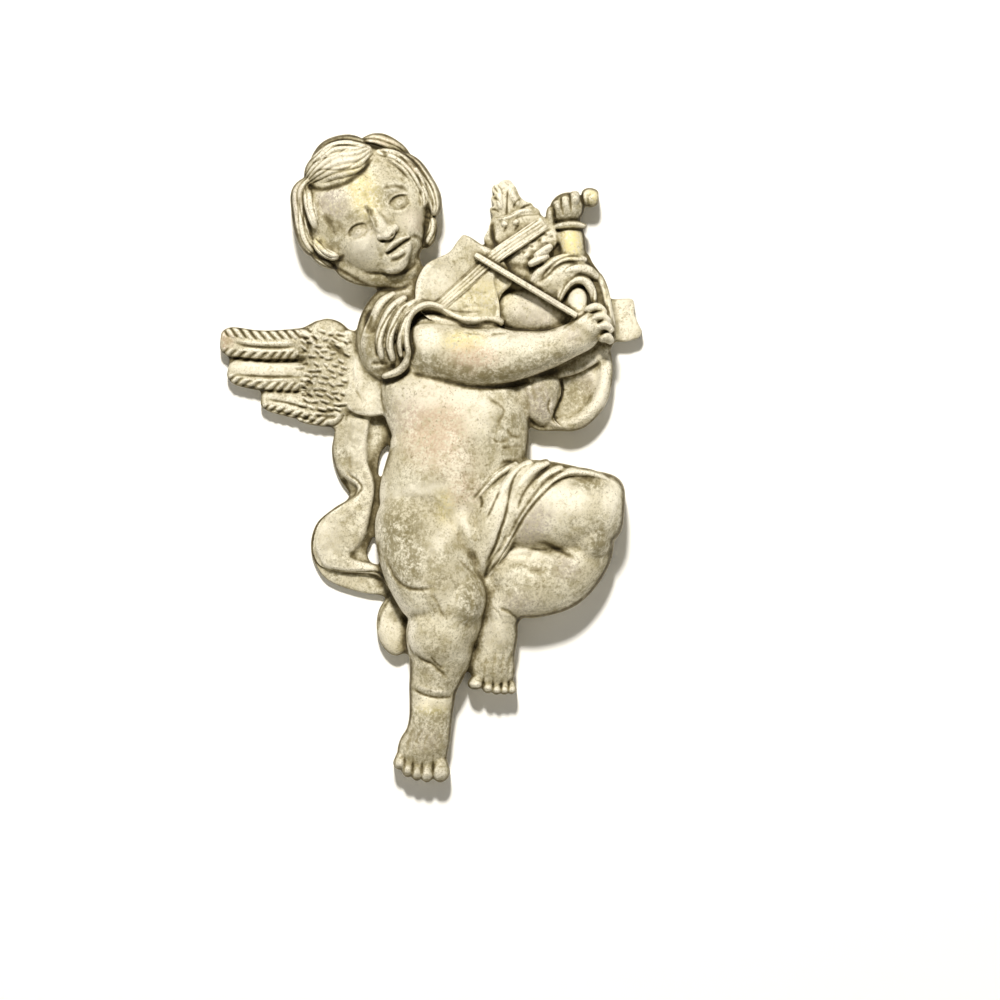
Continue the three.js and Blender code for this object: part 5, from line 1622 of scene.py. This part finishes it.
class Casting:
    """The whole relief as one closed skin with its paint marks."""

    # Wavelength in metres, height in steps and seed of each layer of unevenness
    UNEVENNESS = ((0.011, 0.30, 3), (0.004, 0.16, 5))
    # How far the relief is blurred, in squares, to find its fine, middle and broad hollows
    BLURS = (2.0, 5.0, 13.0)
    # Depth in steps at which a fine, middle and broad hollow, and a fine and middle ridge, count in full
    HOLLOW_DEPTHS = (2.0, 6.0, 20.0)
    RIDGE_HEIGHTS = (1.4, 5.0)
    HOLLOW_SHARES = (0.45, 0.45, 0.35)
    RIDGE_SHARES = (0.7, 0.5)
    BROAD_START = 3.0
    FRONT_FULL = 0.3
    SIDE_FULL = 0.55

    def __init__(self, layout: Layout, features: Sequence[Feature]) -> None:
        """Keeps what the casting is made of.

        Args:
            layout: turns grid places into metres.
            features: modelled parts, from the back to the front.
        """
        self.layout = layout
        self.features = features

    def build(self) -> bpy.types.Object:
        """Fuses, carves and thins the skin, then notes its paint marks.

        Returns:
            The finished plaque.
        """
        voxel = DETAIL_VOXEL
        clay = Clay(self.layout)
        for feature in self.features:
            feature.mass(clay)
        body = clay.fuse("cherub_body", BODY_VOXEL, BODY_SMOOTHING)
        clay = Clay(self.layout)
        clay.keep_mesh(body)
        for feature in self.features:
            feature.detail(clay)
        skin = clay.fuse("cherub_skin", voxel, DETAIL_SMOOTHING)
        log.info("fused skin has %d points", len(skin.vertices))
        chisel = Chisel(self.layout, skin)
        for feature in self.features:
            feature.carve(chisel)
        for wavelength, amount, seed in self.UNEVENNESS:
            chisel.unevenness(wavelength, amount, seed)
        carved = self.inside_box(chisel.carved())
        skin.vertices.foreach_set("co", carved.ravel())
        skin.update()
        marks = self.marks(chisel, skin)
        for name, values in marks.items():
            layer = skin.attributes.new(name, "FLOAT", "POINT")
            layer.data.foreach_set("value", values)
        plaque = bpy.data.objects.new("cherub_casting", self.thinned(skin))
        bpy.context.scene.collection.objects.link(plaque)
        for polygon in plaque.data.polygons:
            polygon.use_smooth = polygon.normal.y < FLAT_BACK_NORMAL
        return plaque

    def inside_box(self, points: np.ndarray) -> np.ndarray:
        """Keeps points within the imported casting's box, which also trims the back flat."""
        low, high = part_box(NODE)
        return np.clip(points, np.array(low), np.array(high))

    def marks(self, chisel: Chisel, skin: bpy.types.Mesh) -> dict[str, np.ndarray]:
        """Works out where paint, glaze, wear, painted shade and painted highlight lie.

        Args:
            chisel: holds the darkening of glaze and painted shade, and the plan places of the points.
            skin: the carved skin.

        Returns:
            Values from 0 to 1 for every point, by the name of the mark.
        """
        facing = np.empty(len(skin.vertices) * 3)
        skin.vertices.foreach_get("normal", facing)
        facing = -facing.reshape(-1, 3)[:, 1]
        points = np.empty(len(skin.vertices) * 3)
        skin.vertices.foreach_get("co", points)
        depths = -points.reshape(-1, 3)[:, 1] / self.layout.step
        relief = HeightMap(chisel, depths)
        fine, middle, broad = (relief.sample(relief.blurred(radius), chisel.plan) - depths
                               for radius in self.BLURS)
        front = np.clip(facing / self.FRONT_FULL, 0, 1)
        ahead = np.clip(1 + facing, 0, 1)
        below = (fine, middle, broad - self.BROAD_START)
        # The hollows darken the paint: the fine and middle ones as antique glaze in the cuts, the broad one
        # as painted shade under and between the large forms. The ridges lighten it as worn paint and as
        # painted highlight.
        hollow = sum(np.clip(drop / full, 0, 1) * share
                     for drop, full, share in zip(below, self.HOLLOW_DEPTHS, self.HOLLOW_SHARES))
        ridge = sum(np.clip(-drop / full, 0, 1) * share
                    for drop, full, share in zip(below, self.RIDGE_HEIGHTS, self.RIDGE_SHARES))
        marks = {
            "wash_and_shade": np.clip(chisel.wash_and_shade, 0, 1) * ahead,
            "hollow": np.clip(hollow, 0, 1) * front,
            "ridge": np.clip(ridge, 0, 1) * front,
            "side": np.clip(1 - facing / self.SIDE_FULL, 0, 1),
        }
        for tint, tint_patches in TINT_PATCHES.items():
            marks[tint.value] = np.max([tint_patch.amount(chisel.plan) for tint_patch in tint_patches], axis=0) * ahead
        return marks

    def thinned(self, skin: bpy.types.Mesh) -> bpy.types.Mesh:
        """Thins the skin to its triangle limit, which mostly empties the flat back.

        Args:
            skin: the carved skin, which is used up.

        Returns:
            The thinned mesh.
        """
        holder = bpy.data.objects.new("cherub_dense", skin)
        bpy.context.scene.collection.objects.link(holder)
        triangulate = holder.modifiers.new("triangles", "TRIANGULATE")
        triangulate.quad_method = "SHORTEST_DIAGONAL"
        decimate = holder.modifiers.new("thin", "DECIMATE")
        decimate.decimate_type = "COLLAPSE"
        decimate.ratio = min(1.0, TRIANGLE_LIMIT / (2.0 * len(skin.polygons)))
        graph = bpy.context.evaluated_depsgraph_get()
        thin = bpy.data.meshes.new_from_object(holder.evaluated_get(graph), preserve_all_data_layers=True,
                                               depsgraph=graph)
        thin.name = "cherub_casting"
        bpy.data.objects.remove(holder)
        bpy.data.meshes.remove(skin)
        log.info("thinned skin has %d triangles", len(thin.polygons))
        return thin


def linear(code: str) -> tuple[float, float, float, float]:
    """Turns an sRGB colour such as #f3edd2 into a linear one with full alpha."""
    parts = [int(code[i:i + 2], 16) / 255 for i in (1, 3, 5)]
    return (*[p / 12.92 if p <= 0.04045 else ((p + 0.055) / 1.055) ** 2.4 for p in parts], 1.0)


def per_millimetre(size: float) -> float:
    """Pattern scale whose features are about that many millimetres wide."""
    return 1000.0 / size


@dataclass(frozen=True)
class AgedCreamPaint:
    """Brushed cream paint, wiped with an olive-brown antique glaze, on a cast composition plaque.

    The chalky paint looks dry and dull. The glaze stays dark in the hollows and is wiped off the
    high places, where the paint is worn nearly white. Painted shade darkens the broad hollows and the
    undersides of the large forms, and painted highlight lightens the high places.
    """

    cream_light: str = "#e4dfcb"
    cream: str = "#cfc8b0"
    cream_deep: str = "#b5ac8a"
    # Pale worn paint, also laid as painted highlight on the high places.
    worn: str = "#fbf6e6"
    soil: str = "#857c60"
    # Dark glaze colours, which also paint the shade in the broad hollows and under the large forms.
    thin_wash_and_shade: str = "#958b6a"
    wash_and_shade: str = "#5c5132"
    thick_wash_and_shade: str = "#2f2712"
    rose: str = "#d2b59d"
    yellow: str = "#ecdf9f"
    # Olive tint, partly patina and partly painted shade under the limbs and the chin.
    olive: str = "#7c7350"
    lilac: str = "#c4bab2"
    fleck: str = "#6f6238"
    roughness: float = 0.62

    def build(self) -> bpy.types.Material:
        """Makes the node material.

        Returns:
            The material.
        """
        material = bpy.data.materials.new("aged_cream_paint_wash_and_shade")
        material.use_nodes = True
        tree = material.node_tree
        shader = tree.nodes["Principled BSDF"]
        sheet = NodeSheet(tree)
        place = sheet.add("ShaderNodeTexCoord").outputs["Object"]

        def noise(size: float, detail: float = 4.0, roughness: float = 0.55) -> bpy.types.NodeSocket:
            """Noise whose features are that many millimetres wide."""
            inputs = {"Vector": place, "Scale": per_millimetre(size), "Detail": detail,
                      "Roughness": roughness}
            return sheet.add("ShaderNodeTexNoise", inputs).outputs["Fac"]

        # Brushed paint is cloudy over a centimetre or so, and blotched where it was dabbed. The real
        # grit is about 0.1 mm, too fine to show, so grain is drawn at about half a millimetre.
        cloudy = noise(14.0)
        blotch = noise(5.0, 5.0, 0.62)
        mottle = noise(1.6, 4.0, 0.65)
        grain = noise(0.55, 3.0, 0.7)

        base = sheet.mix(sheet.ramp(cloudy, 0.40, 0.62), linear(self.cream), linear(self.cream_light))
        base = sheet.mix(sheet.scaled(sheet.ramp(blotch, 0.47, 0.66), 0.7), base, linear(self.cream_deep))
        dusty = sheet.sum(sheet.scaled(mottle, 0.55), sheet.scaled(noise(8.0, 6.0, 0.6), 0.45))
        base = sheet.mix(sheet.scaled(sheet.ramp(dusty, 0.50, 0.64), 0.62), base, linear(self.soil))
        # High places are made nearly white, unevenly, partly as worn paint and partly as painted highlight.
        wear_and_highlight = sheet.sum(sheet.attribute("ridge"), sheet.sum(sheet.scaled(cloudy, 1.2), -0.62))
        base = sheet.mix(sheet.scaled(sheet.ramp(wear_and_highlight, 0.05, 0.6), 0.75), base, linear(self.worn))

        # Dust sits in the pits of the paint, and the tints break up over them.
        gritty = noise(0.95, 3.0, 0.6)
        base = sheet.mix(sheet.scaled(sheet.ramp(gritty, 0.51, 0.64), 0.5), base, linear(self.soil))
        patchy = sheet.ramp(sheet.sum(sheet.scaled(mottle, 0.65), sheet.scaled(gritty, 0.35)), 0.40, 0.54)
        # The pale worn patches lighten the paint as worn paint and as painted highlight.
        for tint, colour, amount in (
            ("yellow", self.yellow, 0.85),
            ("lilac", self.lilac, 0.8),
            ("rose", self.rose, 0.62),
            ("wear_and_highlight", self.worn, 0.85),
        ):
            base = sheet.mix(sheet.scaled(sheet.times(sheet.attribute(tint), patchy), amount), base,
                linear(colour))

        # Olive patches darken the paint, partly as patina and partly as painted shade under the limbs and the
        # chin.
        worn = sheet.ramp(sheet.sum(sheet.scaled(mottle, 0.7), sheet.scaled(blotch, 0.5)), 0.44, 0.70)
        olive = sheet.times(sheet.attribute("olive"), worn)
        base = sheet.mix(sheet.scaled(olive, 0.9), base, linear(self.olive))

        # The darkening is thin and olive at its edge and nearly black at its deepest: antique glaze that
        # pooled in the cuts, and painted shade in the broad hollows and under the large forms.
        hollow = sheet.sum(sheet.scaled(sheet.attribute("hollow"), 0.85),
            sheet.scaled(sheet.attribute("wash_and_shade"), 0.7))
        hollow = sheet.sum(hollow, sheet.scaled(sheet.attribute("side"), 0.3))
        hollow = sheet.sum(hollow, sheet.scaled(sheet.attribute("wear_and_highlight"), -0.4))
        hollow = sheet.sum(hollow, sheet.scaled(sheet.attribute("ridge"), -0.35))
        rough_edge = sheet.sum(sheet.scaled(mottle, 0.9), sheet.scaled(blotch, 0.9))
        wash_and_shade = sheet.sum(hollow, sheet.sum(rough_edge, -0.84))
        base = sheet.mix(sheet.scaled(sheet.ramp(wash_and_shade, 0.10, 0.55), 0.72), base, linear(self.thin_wash_and_shade))
        base = sheet.mix(sheet.scaled(sheet.ramp(wash_and_shade, 0.42, 0.95), 0.9), base, linear(self.wash_and_shade))
        base = sheet.mix(sheet.scaled(sheet.ramp(wash_and_shade, 0.85, 1.35), 0.9), base, linear(self.thick_wash_and_shade))

        # Flecks of glaze stay in the tooth of the paint.
        flecks = sheet.times(sheet.ramp(grain, 0.62, 0.72), sheet.ramp(blotch, 0.44, 0.62))
        base = sheet.mix(sheet.scaled(flecks, 0.6), base, linear(self.fleck))
        specks = sheet.times(sheet.ramp(noise(1.1, 2.0, 0.5), 0.61, 0.67), sheet.ramp(noise(9.0), 0.42, 0.6))
        base = sheet.mix(sheet.scaled(specks, 0.55), base, linear(self.fleck))

        # Dull paint with a slight sheen where it is worn, and a fine tooth.
        tree.links.new(base, shader.inputs["Base Color"])
        shader.inputs["Specular IOR Level"].default_value = 0.32
        matte = sheet.sum(sheet.scaled(mottle, 0.22), self.roughness - 0.11)
        tree.links.new(sheet.sum(matte, sheet.scaled(sheet.ramp(wash_and_shade, 0.4, 1.0), 0.12)),
            shader.inputs["Roughness"])
        tree.links.new(sheet.bump(sheet.sum(sheet.scaled(grain, 0.5), sheet.scaled(mottle, 0.8)), 0.00016,
            0.75), shader.inputs["Normal"])
        return material


class NodeSheet:
    """Adds nodes with their settings and links to a node tree."""

    def __init__(self, tree: bpy.types.NodeTree) -> None:
        """Keeps the tree."""
        self.tree = tree

    def add(self, kind: str, inputs: Optional[dict] = None, **settings: object) -> bpy.types.Node:
        """Adds a node.

        Args:
            kind: Blender's name of the node type.
            inputs: values or sockets by input name or number.
            settings: the node's own properties.

        Returns:
            The new node.
        """
        node = self.tree.nodes.new(kind)
        for name, value in settings.items():
            setattr(node, name, value)
        for key, value in (inputs or {}).items():
            if isinstance(value, bpy.types.NodeSocket):
                self.tree.links.new(value, node.inputs[key])
            else:
                node.inputs[key].default_value = value
        return node

    def attribute(self, name: str) -> bpy.types.NodeSocket:
        """Reads a mark of the mesh."""
        return self.add("ShaderNodeAttribute", attribute_name=name).outputs["Fac"]

    def math(self, operation: str, first: object, second: object,
             clamp: bool = False) -> bpy.types.NodeSocket:
        """Does a sum on two values."""
        node = self.add("ShaderNodeMath", {0: first, 1: second}, operation=operation, use_clamp=clamp)
        return node.outputs[0]

    def sum(self, first: object, second: object) -> bpy.types.NodeSocket:
        """Adds two values."""
        return self.math("ADD", first, second)

    def scaled(self, value: object, amount: float) -> bpy.types.NodeSocket:
        """Scales a value."""
        return self.math("MULTIPLY", value, amount)

    def times(self, first: object, second: object) -> bpy.types.NodeSocket:
        """Multiplies two values."""
        return self.math("MULTIPLY", first, second)

    def ramp(self, value: object, low: float, high: float) -> bpy.types.NodeSocket:
        """Smoothly maps low..high to 0..1."""
        return self.add("ShaderNodeMapRange", {"Value": value, "From Min": low, "From Max": high},
                        interpolation_type="SMOOTHSTEP").outputs["Result"]

    def mix(self, share: object, first: object, second: object) -> bpy.types.NodeSocket:
        """Mixes two colours.

        Args:
            share: share of the second colour.
            first: first colour or socket.
            second: second colour or socket.

        Returns:
            The mixed colour.
        """
        node = self.add("ShaderNodeMix", {0: share}, data_type="RGBA")
        for value, socket in ((first, node.inputs[6]), (second, node.inputs[7])):
            if isinstance(value, bpy.types.NodeSocket):
                self.tree.links.new(value, socket)
            else:
                socket.default_value = value
        return node.outputs[2]

    def bump(self, height: bpy.types.NodeSocket, distance: float, strength: float) -> bpy.types.NodeSocket:
        """Turns a height into a bump of that many metres."""
        return self.add("ShaderNodeBump", {"Height": height, "Distance": distance, "Strength": strength}
                        ).outputs["Normal"]


@dataclass(frozen=True)
class PaleBackdrop:
    """Plain white matt board, see-through from behind so that the back can be viewed."""

    colour: str = "#ffffff"

    def build(self) -> bpy.types.Material:
        """Makes the node material.

        Returns:
            The material.
        """
        material = bpy.data.materials.new("plain_white_board")
        material.use_nodes = True
        sheet = NodeSheet(material.node_tree)
        material.node_tree.nodes.remove(material.node_tree.nodes["Principled BSDF"])
        output = material.node_tree.nodes["Material Output"]
        board = sheet.add("ShaderNodeBsdfDiffuse", {"Color": linear(self.colour)})
        clear = sheet.add("ShaderNodeBsdfTransparent")
        behind = sheet.add("ShaderNodeNewGeometry").outputs["Backfacing"]
        both = sheet.add("ShaderNodeMixShader", {0: behind, 1: board.outputs[0], 2: clear.outputs[0]})
        material.node_tree.links.new(both.outputs[0], output.inputs["Surface"])
        return material


@dataclass(frozen=True)
class Stage:
    """White board behind the plaque, a pale floor, soft light and the camera."""

    layout: Layout
    board_gap: float = 0.0006
    board_half: float = 2.5
    opening_half: float = 0.17
    opening_cell: float = 0.001
    opening_margin: float = 0.0012
    floor_height: float = -0.75
    floor_colour: str = "#a9a7a0"
    photo_width: float = 1000.0
    photo_centre_x: float = 50.0
    photo_centre_z: float = -150.0
    camera_distance: float = 6.0
    key_power: float = 106.0
    key_colour: str = "#fffaf0"
    key_size: float = 0.34
    key_distance: float = 3.0
    key_elevation: float = 33.0
    key_azimuth: float = -4.0
    world_strength: float = 0.13
    back_power: float = 26.0
    back_size: float = 1.2
    back_distance: float = 2.0

    def build(self, plaque: bpy.types.Object) -> None:
        """Sets the stage behind, under and in front of the plaque.

        Args:
            plaque: the finished plaque.
        """
        board = self.sheet("backdrop_board", (0, self.board_gap, 0), PaleBackdrop().build(), upright=True)
        self.open_behind(board, plaque)
        floor = self.sheet("pale_floor", (0, -self.board_half + self.board_gap, self.floor_height),
                           PaleBackdrop(self.floor_colour).build(), upright=False)
        self.light()
        self.camera()

    def sheet(self, name: str, centre: tuple[float, float, float], material: bpy.types.Material,
              upright: bool) -> bpy.types.Object:
        """Adds one flat sheet.

        Args:
            name: name of the sheet.
            centre: its middle in metres.
            material: what covers it.
            upright: stands it up as a wall.

        Returns:
            The sheet's object.
        """
        mesh = bmesh.new()
        bmesh.ops.create_grid(mesh, x_segments=1, y_segments=1, size=self.board_half)
        if upright:
            bmesh.ops.rotate(mesh, verts=mesh.verts, cent=(0, 0, 0), matrix=turn_about_x(90))
        bmesh.ops.translate(mesh, verts=mesh.verts, vec=centre)
        data = bpy.data.meshes.new(name)
        mesh.to_mesh(data)
        mesh.free()
        data.materials.append(material)
        sheet = bpy.data.objects.new(name, data)
        bpy.context.scene.collection.objects.link(sheet)
        return sheet

    def open_behind(self, board: bpy.types.Object, plaque: bpy.types.Object) -> None:
        """Cuts the board away where the plaque hides it, so that light reaches the flat back.

        Args:
            board: the upright board.
            plaque: the finished plaque in front of it.
        """
        middle, half, gap = self.middle(), self.opening_half, self.board_gap
        mesh = bmesh.new()
        mesh.from_mesh(board.data)
        for axis, centre in ((Vector((1, 0, 0)), middle.x), (Vector((0, 0, 1)), middle.z)):
            for side in (-half, half):
                bmesh.ops.bisect_plane(mesh, geom=mesh.verts[:] + mesh.edges[:] + mesh.faces[:],
                                       plane_co=axis * (centre + side), plane_no=axis)
        inner = [face for face in mesh.faces if abs(face.calc_center_median().x - middle.x) < half
                 and abs(face.calc_center_median().z - middle.z) < half]
        bmesh.ops.delete(mesh, geom=inner, context="FACES_ONLY")
        cells = round(2 * half / self.opening_cell)
        grid = bmesh.ops.create_grid(mesh, x_segments=cells, y_segments=cells, size=half)["verts"]
        bmesh.ops.rotate(mesh, verts=grid, cent=(0, 0, 0), matrix=turn_about_x(90))
        bmesh.ops.translate(mesh, verts=grid, vec=(middle.x, gap, middle.z))
        back = BVHTree.FromObject(plaque, bpy.context.evaluated_depsgraph_get())
        margin = self.opening_margin

        def hidden(spot: Vector) -> bool:
            """Whether the plaque covers a spot of the board and a margin round it."""
            return all(back.ray_cast(spot + Vector((dx, margin, dz)), Vector((0, -1, 0)), 2 * margin + gap)[0]
                       for dx, dz in ((0, 0), (margin, 0), (-margin, 0), (0, margin), (0, -margin)))

        fine = {face for vertex in grid for face in vertex.link_faces}
        bmesh.ops.delete(mesh, geom=[face for face in fine if hidden(face.calc_center_median())],
            context="FACES")
        mesh.to_mesh(board.data)
        mesh.free()

    def middle(self) -> Vector:
        """Middle of the photograph on the board."""
        return Vector(self.layout.place(np.array(self.photo_centre_x), np.array(0.0),
                                        np.array(self.photo_centre_z)))

    def light(self) -> None:
        """Adds the soft key light from above, a light for the back and the white surroundings."""
        self.lamp("back_light", Vector((0, 1, 0)) * self.back_distance, self.back_size, self.back_power)
        up, across = math.radians(self.key_elevation), math.radians(self.key_azimuth)
        towards = Vector((math.sin(across) * math.cos(up), -math.cos(across) * math.cos(up), math.sin(up)))
        key = self.lamp("soft_key", towards * self.key_distance, self.key_size, self.key_power)
        key.color = linear(self.key_colour)[:3]
        world = bpy.data.worlds.new("white_studio")
        world.use_nodes = True
        world.node_tree.nodes["Background"].inputs["Color"].default_value = linear("#ffffff")
        world.node_tree.nodes["Background"].inputs["Strength"].default_value = self.world_strength
        bpy.context.scene.world = world

    def lamp(self, name: str, offset: Vector, size: float, power: float) -> bpy.types.AreaLight:
        """Adds a round lamp that points at the middle of the photograph.

        Args:
            name: name of the lamp.
            offset: its place from that middle in metres.
            size: its diameter in metres.
            power: its power in watts.

        Returns:
            The lamp's light.
        """
        light = bpy.data.lights.new(name, "AREA")
        light.shape = "DISK"
        light.size = size
        light.energy = power
        lamp = bpy.data.objects.new(name, light)
        lamp.location = self.middle() + offset
        lamp.rotation_euler = offset.to_track_quat("Z", "Y").to_euler()
        bpy.context.scene.collection.objects.link(lamp)
        return light

    def camera(self) -> None:
        """Adds the long lens straight in front, framed as in the photograph."""
        lens = bpy.data.cameras.new("front")
        lens.sensor_fit = "HORIZONTAL"
        lens.sensor_width = 36.0
        lens.lens = lens.sensor_width * self.camera_distance / (self.photo_width * self.layout.square)
        lens.clip_end = 20.0
        camera = bpy.data.objects.new("front", lens)
        camera.location = self.middle() + Vector((0, -self.camera_distance, 0))
        camera.rotation_euler = (math.radians(90), 0, 0)
        bpy.context.scene.collection.objects.link(camera)
        bpy.context.scene.camera = camera
        bpy.context.scene.view_settings.view_transform = "Standard"


def turn_about_x(degrees: float) -> Matrix:
    """Rotation about the X axis as a matrix."""
    return Matrix.Rotation(math.radians(degrees), 3, "X")


def main() -> None:
    """Builds the casting and its stage."""
    logging.basicConfig(level=logging.INFO, format="%(name)s: %(message)s")
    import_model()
    layout = Layout.from_frame()
    features = (Backing(), Wing(), WindingRibbon(), RibbonEnd(), ClothLoop(), RaisedSleeve(), RaisedArm(),
        LeafCrown(), Violin(), Torso(), BentLeg(), HangingLeg(), LapDrapery(), Head(), Hair(), BowArm(),
        Bow())
    plaque = Casting(layout, features).build()
    plaque.data.materials.append(AgedCreamPaint().build())
    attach(plaque, "root")
    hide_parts(NODE)
    Stage(layout).build(plaque)


if __name__ == "__main__":
    main()
